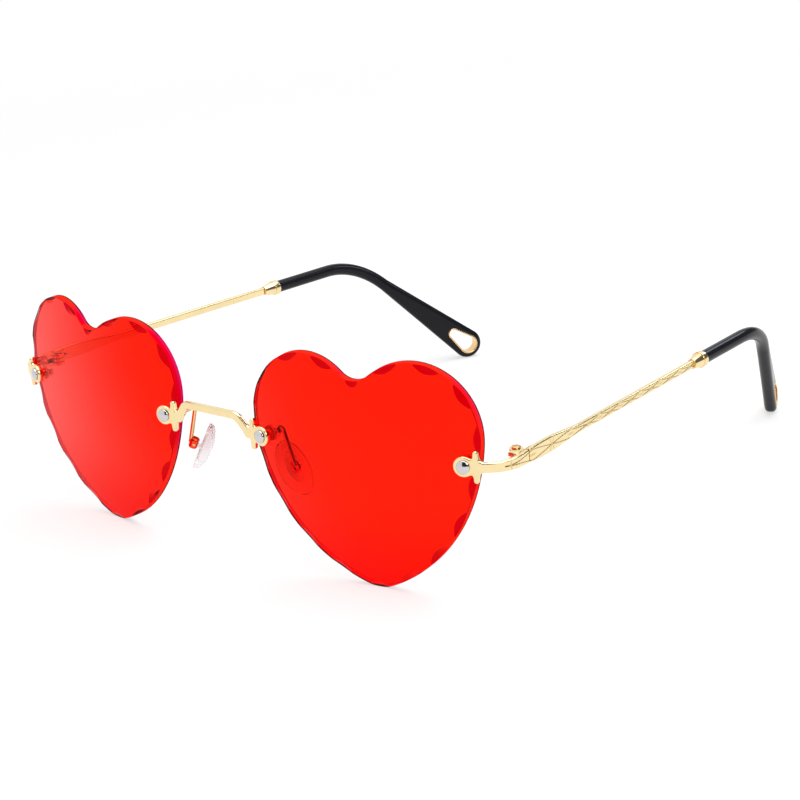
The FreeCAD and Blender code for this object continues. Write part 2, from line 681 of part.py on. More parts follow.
def rounded_rectangle(width, thickness, corner, y):
    """A section of the paddle, square to Y, with its thickness along X and its width along Z."""
    x = thickness / 2
    z = width / 2
    diagonal = corner * (1 - math.sqrt(0.5))
    edges = []
    for side_x, side_z in ((1, 1), (-1, 1), (-1, -1), (1, -1)):
        beside = Vector(side_x * x, y, side_z * (z - corner))
        middle = Vector(side_x * (x - diagonal), y, side_z * (z - diagonal))
        above = Vector(side_x * (x - corner), y, side_z * z)
        first, last = (beside, above) if side_x == side_z else (above, beside)
        edges.append((first, middle, last))
    shapes = []
    for number, (first, middle, last) in enumerate(edges):
        shapes.append(Part.Arc(first, middle, last).toShape())
        shapes.append(Part.makeLine(last, edges[(number + 1) % 4][0]))
    return Part.Wire(shapes)


def round_section(radius, y):
    """A round section in eight arcs, one for each edge of a rounded rectangle."""
    shapes = []
    for number in range(8):
        turns = [polar(45 * number + part, radius) for part in (22.5, 45, 67.5)]
        first, middle, last = [Vector(turn.x, y, turn.y) for turn in turns]
        shapes.append(Part.Arc(first, middle, last).toShape())
    return Part.Wire(shapes)


def teardrop(big_radius, small_radius, half_depth):
    """A prism along X: a round end at the origin and a smaller one up the tip from it."""
    lean = math.asin((big_radius - small_radius) / EYELET_LENGTH)
    side = Vector(0, -math.sin(lean), math.cos(lean))
    small_centre = Vector(0, -EYELET_LENGTH, 0)
    mirrored = Vector(0, side.y, -side.z)
    wire = Part.Wire([
        Part.Arc(side * big_radius, Vector(0, big_radius, 0), mirrored * big_radius).toShape(),
        Part.makeLine(mirrored * big_radius, small_centre + mirrored * small_radius),
        Part.Arc(small_centre + mirrored * small_radius, small_centre - Y_AXIS * small_radius,
                 small_centre + side * small_radius).toShape(),
        Part.makeLine(small_centre + side * small_radius, side * big_radius)])
    prism = Part.Face(wire).extrude(X_AXIS * (2 * half_depth))
    prism.translate(X_AXIS * -half_depth)
    return prism


def in_paddle(shape):
    return turned(shape, PADDLE_ROTATION, TIP_END)


def temple_tip():
    radius = TIP_DIAMETER / 2
    start = Vector(CENTRE_X, TIP_FROM, 0)
    tube = rod(bent_path(start, KNEE, PADDLE_START, TIP_BEND_RADIUS), radius)
    paddle = Part.makeLoft([round_section(radius, KNEE_CUT + SHEET - TIP_ARM),
                            rounded_rectangle(PADDLE_WIDTH, PADDLE_THICKNESS, PADDLE_CORNER, 0)], True, True)
    half_section = Part.Face(rounded_rectangle(PADDLE_WIDTH, PADDLE_THICKNESS, PADDLE_CORNER, 0)).common(
        block(-PADDLE_WIDTH, PADDLE_WIDTH, -1, 1, 0, PADDLE_WIDTH))
    round_end = half_section.Faces[0].revolve(ORIGIN, X_AXIS, -180)
    body = tube.fuse([in_paddle(paddle), in_paddle(round_end)])
    core_start = Vector(CENTRE_X, FERRULE_FROM, 0)
    core_end = TIP_END - TIP_DIR * (CORE_END_MARGIN - SEAT)
    bore = rod(bent_path(core_start, KNEE, core_end, TIP_BEND_RADIUS), CORE_DIAMETER / 2 + SEAT)
    window = in_paddle(teardrop(EYELET_BIG_RADIUS + SEAT, EYELET_SMALL_RADIUS + SEAT, PADDLE_WIDTH))
    return body.cut([bore, window])


def tip_eyelet():
    half_depth = PADDLE_THICKNESS / 2 + EYELET_PROUD
    rim = teardrop(EYELET_BIG_RADIUS, EYELET_SMALL_RADIUS, half_depth)
    hole = teardrop(EYELET_BIG_RADIUS - EYELET_WALL, EYELET_SMALL_RADIUS - EYELET_WALL, PADDLE_WIDTH)
    return in_paddle(rim.cut(hole))


# Nose pad: Y runs from the pad screw through the pad to the nose, Z up along the pad

FRONTAL = math.radians(PAD_FRONTAL_ANGLE)
SPLAY = math.radians(PAD_SPLAY)
PAD_UP = Vector(-math.sin(FRONTAL), 0, math.cos(FRONTAL))
PAD_INWARD = Vector(-math.cos(SPLAY), math.sin(SPLAY), 0)
PAD_FACING = (PAD_INWARD - PAD_UP * PAD_INWARD.dot(PAD_UP)).normalize()
PAD_ACROSS = PAD_FACING.cross(PAD_UP)
PAD_ROTATION = axes_rotation(PAD_ACROSS, PAD_FACING, PAD_UP)
PAD_MIDDLE = Vector(PAD_FROM_MIDDLE, PAD_SETBACK, INNER_SCREW.z - PAD_BELOW_SCREW)
PAD_PIVOT = PAD_MIDDLE - PAD_FACING * (PAD_STUD_REACH + PAD_THICKNESS / 2)
BOX_SLOT = PAD_STUD_THICKNESS / 2 + STUD_GAP
BOX_HALF_WIDTH = BOX_SLOT + PAD_BOX_WALL
BOX_FLOOR = -PAD_STUD_RADIUS - STUD_GAP
BOX_BACK = BOX_FLOOR - PAD_BOX_WALL


def at_pad(shape):
    return turned(shape, PAD_ROTATION, PAD_PIVOT)


def oval_plate(length, width, y_from, y_to):
    """A flat oval, as long as the pad runs and square to Y."""
    oval = Part.Ellipse(ORIGIN, length / 2, width / 2)
    face = Part.Face(Part.Wire(oval.toShape()))
    upright = axes_rotation(Z_AXIS, X_AXIS, Y_AXIS)
    return turned(face.extrude(Z_AXIS * (y_to - y_from)), upright, Y_AXIS * y_from)


def nose_pad():
    """A soft oval, flat at the back and crowned towards the nose, with a pocket for its insert."""
    back = PAD_STUD_REACH
    front = back + PAD_THICKNESS
    crown_radius = ((PAD_LENGTH / 2) ** 2 + PAD_CROWN ** 2) / (2 * PAD_CROWN)
    crown = Part.makeSphere(crown_radius, Y_AXIS * (front - crown_radius))
    pocket = oval_plate(PAD_INSERT_LENGTH + 2 * SEAT, PAD_INSERT_WIDTH + 2 * SEAT,
                        back - SEAT, back + PAD_INSERT_THICKNESS + SEAT)
    return at_pad(oval_plate(PAD_LENGTH, PAD_WIDTH, back, front).common(crown).cut(pocket))


def pad_insert():
    """The stiff plate in the pad, with the stud that hangs on the pad screw."""
    plate = oval_plate(PAD_INSERT_LENGTH, PAD_INSERT_WIDTH, PAD_STUD_REACH,
                       PAD_STUD_REACH + PAD_INSERT_THICKNESS)
    half = PAD_STUD_THICKNESS / 2
    knob = Part.makeCylinder(PAD_STUD_RADIUS, PAD_STUD_THICKNESS, Vector(-half, 0, 0), X_AXIS)
    neck = block(-half, half, 0, PAD_STUD_REACH, -PAD_STUD_RADIUS, PAD_STUD_RADIUS)
    hole = Part.makeCylinder(PAD_SCREW_DIAMETER / 2 + RUNNING, 2 * PAD_STUD_THICKNESS,
                             Vector(-PAD_STUD_THICKNESS, 0, 0), X_AXIS)
    return at_pad(fused(plate, knob, neck).cut(hole))


def pad_screw():
    radius = PAD_SCREW_DIAMETER / 2
    shank = Part.makeCylinder(radius, 2 * BOX_HALF_WIDTH, Vector(-BOX_HALF_WIDTH, 0, 0), X_AXIS)
    head = Part.makeCylinder(PAD_SCREW_HEAD_DIAMETER / 2, PAD_SCREW_HEAD_HEIGHT,
                             Vector(BOX_HALF_WIDTH + SEAT, 0, 0), X_AXIS)
    bridge_piece = Part.makeCylinder(radius, SEAT, Vector(BOX_HALF_WIDTH, 0, 0), X_AXIS)
    return at_pad(fused(shank, bridge_piece, head))


def pad_arm():
    """The plate behind the lens, the bent wire soldered to it, and the box that holds the pad."""
    lean = FreeCAD.Rotation(Y_AXIS, -PAD_PLATE_LEAN)
    plate = turned(fused(
        disc(PAD_PLATE_RADIUS, PLATE_FROM, PLATE_TO),
        block(-PAD_PLATE_TAB_RADIUS, PAD_PLATE_TAB_RADIUS, PLATE_FROM, PLATE_TO, 0, PAD_PLATE_REACH),
        disc(PAD_PLATE_TAB_RADIUS, PLATE_FROM, PLATE_TO, 0, PAD_PLATE_REACH)), lean)
    plate = at_inner_screw(plate.cut(disc(SCREW_BORE, PLATE_FROM, PLATE_TO)))
    half_length = PAD_BOX_LENGTH / 2
    box = block(-BOX_HALF_WIDTH, BOX_HALF_WIDTH, BOX_BACK, PAD_BOX_FRONT, -half_length, half_length)
    slot = block(-BOX_SLOT, BOX_SLOT, BOX_FLOOR, PAD_BOX_FRONT, -PAD_BOX_LENGTH, PAD_BOX_LENGTH)
    hole = Part.makeCylinder(PAD_SCREW_DIAMETER / 2 + SEAT, 4 * BOX_HALF_WIDTH,
                             Vector(-2 * BOX_HALF_WIDTH, 0, 0), X_AXIS)
    ball = Part.makeSphere(PAD_BOX_ROUNDING, Y_AXIS * ((BOX_BACK + PAD_BOX_FRONT) / 2))
    box = at_pad(box.common(ball).cut([slot, hole]))
    turn = about_z(INNER_ANGLE)
    tab = lean.multVec(Z_AXIS * PAD_PLATE_REACH) + Y_AXIS * (PLATE_FROM + PAD_PLATE_THICKNESS / 2)
    wire_from = turn.multVec(tab) + INNER_SCREW
    wire_corner = wire_from + turn.multVec(Y_AXIS * (PAD_PLATE_THICKNESS / 2 + PAD_WIRE_SETBACK))
    wire_to = PAD_PIVOT + PAD_FACING * (BOX_FLOOR - PAD_BOX_WALL)
    wire = rod(bent_path(wire_from, wire_corner, wire_to, PAD_WIRE_BEND_RADIUS), PAD_WIRE_DIAMETER / 2)
    stub = wire.cut(at_pad(slot))
    return plate.fuse([stub, box])


def left_pieces():
    """Every piece of the wearer's left side, by its name."""
    return {
        "lens": lens(),
        "endpiece": endpiece(),
        "bridge_screw": at_inner_screw(lens_screw(PLATE_TO + SEAT)),
        "bridge_sleeve": at_inner_screw(lens_sleeve()),
        "bridge_washer": at_inner_screw(lens_washer()),
        "bridge_nut": at_inner_screw(lens_nut(PLATE_TO + SEAT)),
        "endpiece_screw": at_outer_screw(lens_screw(WASHER_TO + SEAT)),
        "endpiece_sleeve": at_outer_screw(lens_sleeve()),
        "endpiece_washer": at_outer_screw(lens_washer()),
        "endpiece_nut": at_outer_screw(lens_nut(WASHER_TO + SEAT)),
        "pad_arm": pad_arm(),
        "pad_screw": pad_screw(),
        "pad_insert": pad_insert(),
        "nose_pad": nose_pad(),
        "hinge_front": at_seam(hinge_front()),
        "hinge_rear": at_seam(hinge_rear()),
        "hinge_screw": at_seam(hinge_screw()),
        "temple": at_seam(temple()),
        "ferrule": at_seam(ferrule()),
        "temple_tip": at_seam(temple_tip()),
        "tip_eyelet": at_seam(tip_eyelet()),
    }


def main():
    pieces = {"bridge": bridge()}
    for name, shape in left_pieces().items():
        pieces[name + "_left"] = shape
        pieces[name + "_right"] = shape.mirror(ORIGIN, X_AXIS)
    box = Part.makeCompound(list(pieces.values())).optimalBoundingBox(False, False)
    to_origin = Vector(0, -(box.YMin + box.YMax) / 2, -TABLE_Z)
    os.makedirs("parts", exist_ok=True)
    for name, shape in pieces.items():
        shape.translate(to_origin)
        shape.exportStep("parts/" + name + ".step")
    hinge = about_z(TEMPLE_TOE_IN).multVec(Vector(AXIS_X, 0, 0)) + SEAM + to_origin
    pad = PAD_PIVOT + to_origin
    print("overall", box.XLength, box.YLength, box.ZMax - TABLE_Z, "table", TABLE_Z, box.ZMin)
    print("hinge axis", tuple(hinge))
    print("pad pivot", tuple(pad), "axis", tuple(PAD_ACROSS))
    print("shift", tuple(to_origin))


main()
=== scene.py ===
import json
import math

import bmesh
import bpy
import numpy as np
from bpy.props import FloatProperty, FloatVectorProperty, IntProperty, PointerProperty
from mathutils import Matrix, Vector


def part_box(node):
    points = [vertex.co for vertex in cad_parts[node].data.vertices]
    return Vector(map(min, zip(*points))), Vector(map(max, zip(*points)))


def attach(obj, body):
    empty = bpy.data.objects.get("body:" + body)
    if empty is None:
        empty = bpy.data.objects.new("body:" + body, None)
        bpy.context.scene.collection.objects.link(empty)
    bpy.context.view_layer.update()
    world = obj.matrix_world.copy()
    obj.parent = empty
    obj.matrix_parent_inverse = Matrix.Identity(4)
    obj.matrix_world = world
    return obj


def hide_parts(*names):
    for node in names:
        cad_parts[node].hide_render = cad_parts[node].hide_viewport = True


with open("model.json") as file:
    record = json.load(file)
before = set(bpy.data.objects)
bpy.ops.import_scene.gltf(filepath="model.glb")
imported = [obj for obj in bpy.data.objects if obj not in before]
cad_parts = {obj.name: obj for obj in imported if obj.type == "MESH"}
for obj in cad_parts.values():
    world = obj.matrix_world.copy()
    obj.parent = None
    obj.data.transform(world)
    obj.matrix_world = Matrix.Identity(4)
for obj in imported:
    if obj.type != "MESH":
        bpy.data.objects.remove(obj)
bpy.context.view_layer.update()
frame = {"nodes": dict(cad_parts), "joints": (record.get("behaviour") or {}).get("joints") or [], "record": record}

bl_info = {
    "name": "Heart shaped sunglasses",
    "version": (1, 0, 0),
    "blender": (4, 5, 0),
    "location": "View3D > Sidebar > Sunglasses",
    "description": "Ground red lenses, gold fittings, engraved temples and black tips on the packed frame",
    "category": "Object",
}

MM = 0.001
SEAT = 0.02 * MM
SIDES = (("left", 1), ("right", -1))
UP = Vector((0.0, 0.0, 1.0))
WHITE = (1.0, 1.0, 1.0)


# Settings: the sizes and colours that a user would change

def length(name, description, millimetres):
    return FloatProperty(name=name, description=description, default=millimetres * MM,
                         unit="LENGTH", precision=5)


def angle(name, description, degrees):
    return FloatProperty(name=name, description=description, default=math.radians(degrees), subtype="ANGLE")


def amount(name, description, value):
    return FloatProperty(name=name, description=description, default=value)


def colour(name, description, red, green, blue):
    return FloatVectorProperty(name=name, description=description, default=(red, green, blue),
                               size=3, min=0.0, max=1.0, subtype="COLOR")


class LensSettings(bpy.types.PropertyGroup):
    width: length("Width", "Width of the heart", 58.0)
    height: length("Height", "Height of the heart", 52.4)
    thickness: length("Thickness", "Thickness of the lens", 2.0)
    face_radius: length("Face radius", "Radius of the spherical front face", 116.0)
    wrap: angle("Wrap", "Turn of the lens about the upright axis", 7.6)
    tilt: angle("Tilt", "Lean of the lens towards the cheek", 2.8)
    outer_lobe: length("Outer lobe", "Radius of the lobe at the temple", 15.7)
    inner_lobe: length("Inner lobe", "Radius of the lobe at the nose", 15.8)
    inner_drop: length("Inner drop", "How much lower the inner lobe stands", 0.6)
    point_radius: length("Point radius", "Rounding of the point of the heart", 7.7)
    point_shift: length("Point shift", "How far the point stands outwards", 0.6)
    outer_flank: length("Outer flank", "Radius of the flank at the temple", 41.0)
    inner_flank: length("Inner flank", "Radius of the flank at the nose", 40.0)
    notch: length("Notch", "Rounding of the notch", 5.7)
    facets: IntProperty(name="Facets", description="Scallops round the convex outline", default=17)
    facet_depth: length("Facet depth", "Cut of each scallop", 0.36)
    facet_angle: angle("Facet angle", "Turn of the scallops from the edge", 76.0)
    wheel: length("Wheel", "Radius of the wheel that grinds a scallop", 22.0)
    notch_wheel: length("Notch wheel", "Radius of the wheel in the notch", 4.5)
    notch_depth: length("Notch depth", "Cut of the scallop in the notch", 0.3)
    # The three widths below are of painted dark lines of shade along the outline and the wall.
    line: length("Line", "Width of the dark line along the outline", 0.9)
    front_line: length("Front line", "Width of the dark line inside the front of the wall", 0.7)
    back_line: length("Back line", "Width of the dark line along the back of the wall", 0.35)
    arris: length("Arris", "Width of the fine chamfer along the edges", 0.14)
    hole: length("Hole", "Diameter of the screw holes", 2.24)
    spacing: length("Spacing", "Distance of the mesh points along the outline", 0.3)
    inset: length("Inset", "How far the outline stays inside the solid's", 0.06)
    tint: colour("Tint", "Colour of the lens", 1.0, 0.012, 0.002)
    shadow_tint: colour("Shadow tint", "Colour of the light that falls through the lens", 1.0, 0.6, 0.58)
    low_tint: colour("Low tint", "Colour of the lens near the table", 0.88, 0.003, 0.001)
    # Painted sheen: a paler red laid over the lens where it is seen edge on.
    side_tint: colour("Side tint", "Colour of the lens seen from the side", 1.0, 0.1, 0.09)
    # Painted shade: a darker red laid on scallops that turn away from the lamp overhead.
    facet_tint: colour("Facet tint", "Colour of a scallop that does not face the light", 0.42, 0.0, 0.004)
    # Painted shade: the near-black line where the facet at the outline is seen at a slant.
    line_tint: colour("Line tint", "Colour of the line along the outline, seen at a slant", 0.02, 0.0, 0.002)
    wall_tint: colour("Wall tint", "Colour of the wall round the lens", 0.95, 0.022, 0.01)
    # Painted shade: a darker red on the wall where it is seen from its front.
    front_wall_tint: colour("Front wall tint", "Colour of the wall seen from its front", 0.68, 0.0, 0.012)
    # Painted shade: a darker magenta on the back half of the wall seen from its front.
    rim_tint: colour("Rim tint", "Colour of the back half of the wall seen from its front", 0.6, 0.006, 0.085)
    # Painted shade: the near-black line along the edges of the wall.
    edge_tint: colour("Edge tint", "Colour of the fine line along the edges of the wall", 0.12, 0.002, 0.003)


class FittingSettings(bpy.types.PropertyGroup):
    sheet: length("Sheet", "Thickness of the sheet metal", 1.2)
    rounding: length("Rounding", "Rounding of the sheet's edges", 0.3)
    fillet: length("Fillet", "Rounding in the inner corners", 1.0)
    cell: length("Cell", "Mesh size on the sheet metal", 0.12)
    lug: length("Lug", "Diameter of the lugs", 4.5)
    prong_offset: length("Prong offset", "From the screw to the prongs", 2.7)
    prong_span: length("Prong span", "Over both prongs", 7.1)
    prong_width: length("Prong width", "Width of a prong at its end", 1.15)
    prong_root: length("Prong root", "Width of a prong at its root", 1.7)
    strip: length("Strip", "Height of the strip at a lug", 2.1)
    bridge_stem: length("Bridge stem", "From the screw to the bend of the bridge", 4.2)
    bar_length: length("Bar length", "Length of the bridge's bar", 15.5)
    bow: length("Bow", "How far the bar stands in front of the stems", 0.6)
    bar_corner: length("Bar corner", "Radius of the bar's corners", 2.0)
    bar_height: length("Bar height", "Height of the bridge's bar", 1.75)
    rise: length("Rise", "How far the bar stands above the screws", 3.6)
    endpiece_stem: length("Endpiece stem", "From the screw to the bend", 3.4)
    endpiece_bend: length("Endpiece bend", "Outer radius of the bend", 7.6)
    endpiece_tail: length("Endpiece tail", "From the bend to the seam", 3.2)
    screw: length("Screw", "Diameter of the lens screws", 1.4)
    head: length("Head", "Diameter of the screw heads", 3.0)
    head_height: length("Head height", "Height of the domed heads", 0.79)
    washer: length("Washer", "Diameter of the washers", 3.4)
    washer_thickness: length("Washer thickness", "Thickness of the washers", 0.4)
    nut: length("Nut", "Width of the nuts across their flats", 2.4)
    nut_height: length("Nut height", "Height of the nuts", 1.3)
    hinge_rounding: length("Hinge rounding", "Rounding of the hinge's edges", 0.08)
    gold: colour("Gold", "Colour of the gold plating", 0.93, 0.755, 0.42)
    rose: colour("Rose gold", "Colour of the plating where it is thin", 0.9, 0.6, 0.28)
    groove: colour("Groove", "Colour of the bottom of the engraving", 0.6, 0.43, 0.19)
    # Painted reflection: the red of the lenses laid on the pad boxes as their colour.
    copper: colour("Copper", "Colour of the small boxes beside the red lenses", 0.9, 0.08, 0.03)
    steel: colour("Steel", "Colour of the screws", 0.66, 0.65, 0.66)


class TempleSettings(bpy.types.PropertyGroup):
    hinge_inset: length("Hinge inset", "From the temple's outer face to the hinge pin", 3.298)
    toe_in: angle("Toe in", "Turn of the temple towards the head", 5.0)
    seam_gap: length("Seam gap", "Gap at the hinge", 0.35)
    strip_length: length("Strip length", "From the seam to the ferrule", 68.3)
    seam_height: length("Seam height", "Height at the seam", 2.9)
    swell_height: length("Swell height", "Height at the swell", 3.4)
    swell_at: length("Swell at", "From the seam to the swell", 7.0)
    slim_height: length("Slim height", "Height of the slim run", 1.8)
    slim_at: length("Slim at", "From the seam to the slim run", 21.0)
    cell: length("Cell", "Mesh size on the engraved strips", 0.1)
    groove_depth: length("Groove depth", "Depth of the engraving", 0.09)
    groove_width: length("Groove width", "Width of the engraved lines", 0.36)
    crossing_first: length("First crossing", "From the seam forward to the first crossing of the lines", 6.0)
    crossing_wide: length("Wide pitch", "From one crossing to the next on the swell", 14.6)
    crossing_pitch: length("Crossing pitch", "From one crossing to the next on the slim run", 8.6)
    stroke_reach: length("Stroke reach", "Length of the cuts at a crossing", 0.9)
    leaf_length: length("Leaf length", "Half the length of the leaf in a diamond", 1.7)
    ferrule: length("Ferrule", "Length of the ferrule", 4.6)
    ring: length("Ring", "Diameter of the ferrule's ring", 3.8)
    ring_length: length("Ring length", "Length of the ferrule's ring", 1.5)
    neck: length("Neck", "Diameter of the ferrule's neck", 2.3)


class TipSettings(bpy.types.PropertyGroup):
    diameter: length("Diameter", "Diameter of the tube", 3.1)
    socket: length("Socket", "How far the tube goes into the ferrule", 1.0)
    to_knee: length("To knee", "From the seam to the corner of the bend", 100.6)
    toe_in: angle("Toe in", "Turn of the tip towards the head", 24.3)
    drop: angle("Drop", "Slope of the tip", 41.8)
    bend: length("Bend", "Radius of the bend", 22.5)
    paddle_width: length("Paddle width", "Width of the paddle", 7.8)
    paddle_thickness: length("Paddle thickness", "Thickness of the paddle", 3.0)
    paddle_corner: length("Paddle corner", "Rounding of the paddle", 1.2)
    eyelet_big: length("Eyelet big", "Outer radius of the eyelet's wide end", 2.6)
    eyelet_small: length("Eyelet small", "Outer radius of the eyelet's narrow end", 1.5)
    eyelet_length: length("Eyelet length", "Between the centres of both ends", 5.6)
    eyelet_wall: length("Eyelet wall", "Wall of the eyelet", 0.36)
    eyelet_proud: length("Eyelet proud", "How far the rim stands out of the paddle", 0.15)
    black: colour("Black", "Colour of the tips", 0.006, 0.006, 0.008)


class PadSettings(bpy.types.PropertyGroup):
    length: length("Length", "Length of the pad", 13.2)
    width: length("Width", "Width of the pad", 6.8)
    thickness: length("Thickness", "Thickness of the pad", 2.8)
    crown: length("Crown", "Height of the crown from end to middle", 2.0)
    rounding: length("Rounding", "Rounding of the rim", 0.75)
    reach: length("Reach", "From the pad screw to the pad", 1.5)
    frontal: angle("Frontal angle", "Lean of the pad seen from the front", 31.7)
    insert_length: length("Insert length", "Length of the insert", 7.0)
    insert_width: length("Insert width", "Width of the insert", 3.2)
    insert_thickness: length("Insert thickness", "Thickness of the insert", 0.6)
    stud_gap: length("Stud gap", "Half the slot in the box", 0.485)
    box_wall: length("Box wall", "Wall of the box", 0.5)
    box_length: length("Box length", "Length of the box", 3.0)
    box_floor: length("Box floor", "From the pad screw to the floor of the slot", 0.71)
    box_front: length("Box front", "From the pad screw to the mouth of the box", 0.9)
    wire: length("Wire", "Diameter of the wire", 1.0)
    wire_setback: length("Wire setback", "From the plate to the wire's corner", 4.2)
    wire_bend: length("Wire bend", "Radius of the wire's corner", 1.4)
    plate: length("Plate", "Radius of the plate behind the lens", 1.8)
    plate_thickness: length("Plate thickness", "Thickness of the plate", 0.7)
    tab: length("Tab", "Radius of the plate's tab", 1.1)
    tab_reach: length("Tab reach", "From the screw to the wire", 2.1)
    tab_lean: angle("Tab lean", "Lean of the tab", 95.0)
    silicone: colour("Silicone", "Colour of the pads", 0.93, 0.92, 0.93)
    # Painted light: the pink that the red lenses throw on the upper half of the pads.
    blush: colour("Blush", "Colour of the upper half of the pads, beside the red lenses", 0.8, 0.66, 0.68)
    insert_tint: colour("Insert tint", "Colour of the inserts", 0.95, 0.62, 0.6)


class StageSettings(bpy.types.PropertyGroup):
    azimuth: angle("Azimuth", "Direction of the camera round the upright axis", 42.27)
    elevation: angle("Elevation", "Height of the camera over the horizon", 17.86)
    roll: angle("Roll", "Turn of the camera about its own axis", -4.28)
    distance: length("Distance", "From the camera to what it looks at", 570.1)
    aim: FloatVectorProperty(name="Aim", description="The point that the camera looks at",
                             subtype="TRANSLATION", default=(14.042 * MM, -27.682 * MM, 26.239 * MM))
    focal: amount("Focal length", "Focal length of the camera in millimetres", 111.43)
    key: amount("Key", "Power of the large lamp overhead in watts", 9.0)
    fill: amount("Fill", "Strength of the even light from all sides", 0.55)
    floor_glow: amount("Floor glow", "Share of the white that the floor shows of itself", 0.62)


class SunglassesSettings(bpy.types.PropertyGroup):
    lens: PointerProperty(type=LensSettings)
    fitting: PointerProperty(type=FittingSettings)
    temple: PointerProperty(type=TempleSettings)
    tip: PointerProperty(type=TipSettings)
    pad: PointerProperty(type=PadSettings)
    stage: PointerProperty(type=StageSettings)


def settings():
    return bpy.context.scene.sunglasses


# Places in the frame

def middle(node):
    low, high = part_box(node)
    return (low + high) / 2


def joint(name):
    return next(entry for entry in frame["joints"] if entry["name"] == name)


def horizontal(turn):
    """A level direction, turned from +X."""
    return Vector((math.cos(turn), math.sin(turn), 0.0))


def left_of(direction):
    """A level direction, turned to the left by a right angle."""
    return Vector((-direction.y, direction.x, 0.0))


def shell_centre(lens):
    """The centre of the left lens's spherical faces, which both screws point at."""
    inner = middle("bridge_sleeve_left")
    outer = middle("endpiece_sleeve_left")
    chord = outer - inner
    leg = lens.face_radius - (SEAT + lens.thickness) / 2
    back = left_of(chord).normalized()
    return (inner + outer) / 2 + back * math.sqrt(leg ** 2 - chord.length_squared / 4)


def screw_seat(lens, node):
    """The screw's place on the lens's front face, and the direction in which the screw runs back."""
    sleeve = middle(node)
    back = (shell_centre(lens) - sleeve).normalized()
    return sleeve - back * (SEAT + lens.thickness) / 2, back


def seam(temple):
    """The outer face of the left temple at the hinge, its outward direction and its heading."""
    outward = horizontal(temple.toe_in)
    heading = left_of(outward)
    return Vector(joint("left_temple_fold")["pos_m"]) + outward * temple.hinge_inset, outward, heading


# Meshes and pieces

def to_mesh(name, vertices, faces):
    mesh = bpy.data.meshes.new(name)
    mesh.from_pydata([tuple(point) for point in vertices], [], faces)
    return welded(mesh)


def welded(mesh, distance=0.002 * MM):
    """Merges doubles and turns every face outwards."""
    work = bmesh.new()
    work.from_mesh(mesh)
    bmesh.ops.remove_doubles(work, verts=work.verts, dist=distance)
    bmesh.ops.dissolve_degenerate(work, edges=work.edges, dist=distance)
    bmesh.ops.recalc_face_normals(work, faces=work.faces)
    work.to_mesh(mesh)
    work.free()
    return mesh


def turned_out(mesh):
    """Turns every face outwards."""
    work = bmesh.new()
    work.from_mesh(mesh)
    bmesh.ops.recalc_face_normals(work, faces=work.faces)
    work.to_mesh(mesh)
    work.free()
    return mesh


def smooth(mesh, degrees=40.0):
    """Smooth shading; edges that turn by more than an angle stay sharp."""
    mesh.shade_smooth()
    mesh.set_sharp_from_angle(angle=math.radians(degrees))
    return mesh


def mirrored(mesh):
    twin = mesh.copy()
    twin.transform(Matrix.Scale(-1.0, 4, (1.0, 0.0, 0.0)))
    twin.flip_normals()
    return twin


def link_object(name, data):
    made = bpy.data.objects.new(name, data)
    bpy.context.scene.collection.objects.link(made)
    return made


def add_piece(name, mesh, body, replaced):
    """A finished piece that rides on a body and stands for CAD nodes."""
    piece = link_object(name, mesh)
    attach(piece, body)
    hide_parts(*replaced)
    return piece


def add_pair(name, mesh, body, nodes):
    """A left piece and its mirror image; body and nodes hold {} for the side."""
    pieces = []
    for side, sign in SIDES:
        own = mesh if sign > 0 else mirrored(mesh)
        replaced = [node.format(side) for node in nodes]
        pieces.append(add_piece(name + "_" + side, own, body.format(side), replaced))
    return pieces


def painted(mesh, *materials):
    mesh.materials.clear()
    for material in materials:
        mesh.materials.append(material)
    return mesh


def evaluated_mesh(work):
    """The plain mesh that an object's modifiers make; the object itself is removed."""
    bpy.context.view_layer.update()
    graph = bpy.context.evaluated_depsgraph_get()
    mesh = bpy.data.meshes.new_from_object(work.evaluated_get(graph))
    work.modifiers.clear()
    bpy.data.objects.remove(work)
    return mesh


def cut(mesh, *cutters):
    """The mesh with the cutters taken out of it."""
    work = link_object("work", mesh)
    tools = [link_object("cutter", cutter) for cutter in cutters]
    for tool in tools:
        modifier = work.modifiers.new("Cut", "BOOLEAN")
        modifier.operation = "DIFFERENCE"
        modifier.solver = "EXACT"
        modifier.object = tool
    result = evaluated_mesh(work)
    for tool in tools:
        bpy.data.objects.remove(tool)
    return result


def ring_quads(rings, count):
    """The faces between closed rings of points, ring after ring."""
    faces = []
    for ring in range(rings - 1):
        here, there = ring * count, (ring + 1) * count
        for number in range(count):
            following = (number + 1) % count
            faces.append((here + number, there + number, there + following, here + following))
    return faces


def lathe(profile, segments=64):
    """A solid of revolution about Z from (radius, height) points; the profile is closed."""
    count = len(profile)
    vertices = []
    for step in range(segments):
        turn = 2 * math.pi * step / segments
        vertices += [(radius * math.cos(turn), radius * math.sin(turn), height) for radius, height in profile]
    faces = [tuple(corner % len(vertices) for corner in face) for face in ring_quads(segments + 1, count)]
    return to_mesh("lathe", vertices, faces)


def rounded(points, radius, steps=5):
    """A closed profile with its corners rounded."""
    result = []
    count = len(points)
    for number in range(count):
        corner = Vector(points[number])
        before = Vector(points[number - 1]) - corner
        after = Vector(points[(number + 1) % count]) - corner
        reach = min(radius, before.length / 2, after.length / 2)
        first = corner + before.normalized() * reach
        last = corner + after.normalized() * reach
        if corner.x == 0.0:
            result.append(tuple(corner))
            continue
        for step in range(steps + 1):
            share = step / steps
            point = first.lerp(corner, share).lerp(corner.lerp(last, share), share)
            result.append(tuple(point))
    return result


def basis(x_dir, y_dir, z_dir, base):
    """The matrix that takes X, Y, Z and the origin to three directions and a point."""
    matrix = Matrix((x_dir, y_dir, z_dir)).transposed().to_4x4()
    matrix.translation = base
    return matrix


# Sheet metal: a plate over a grid, whose outline is a distance that is negative inside

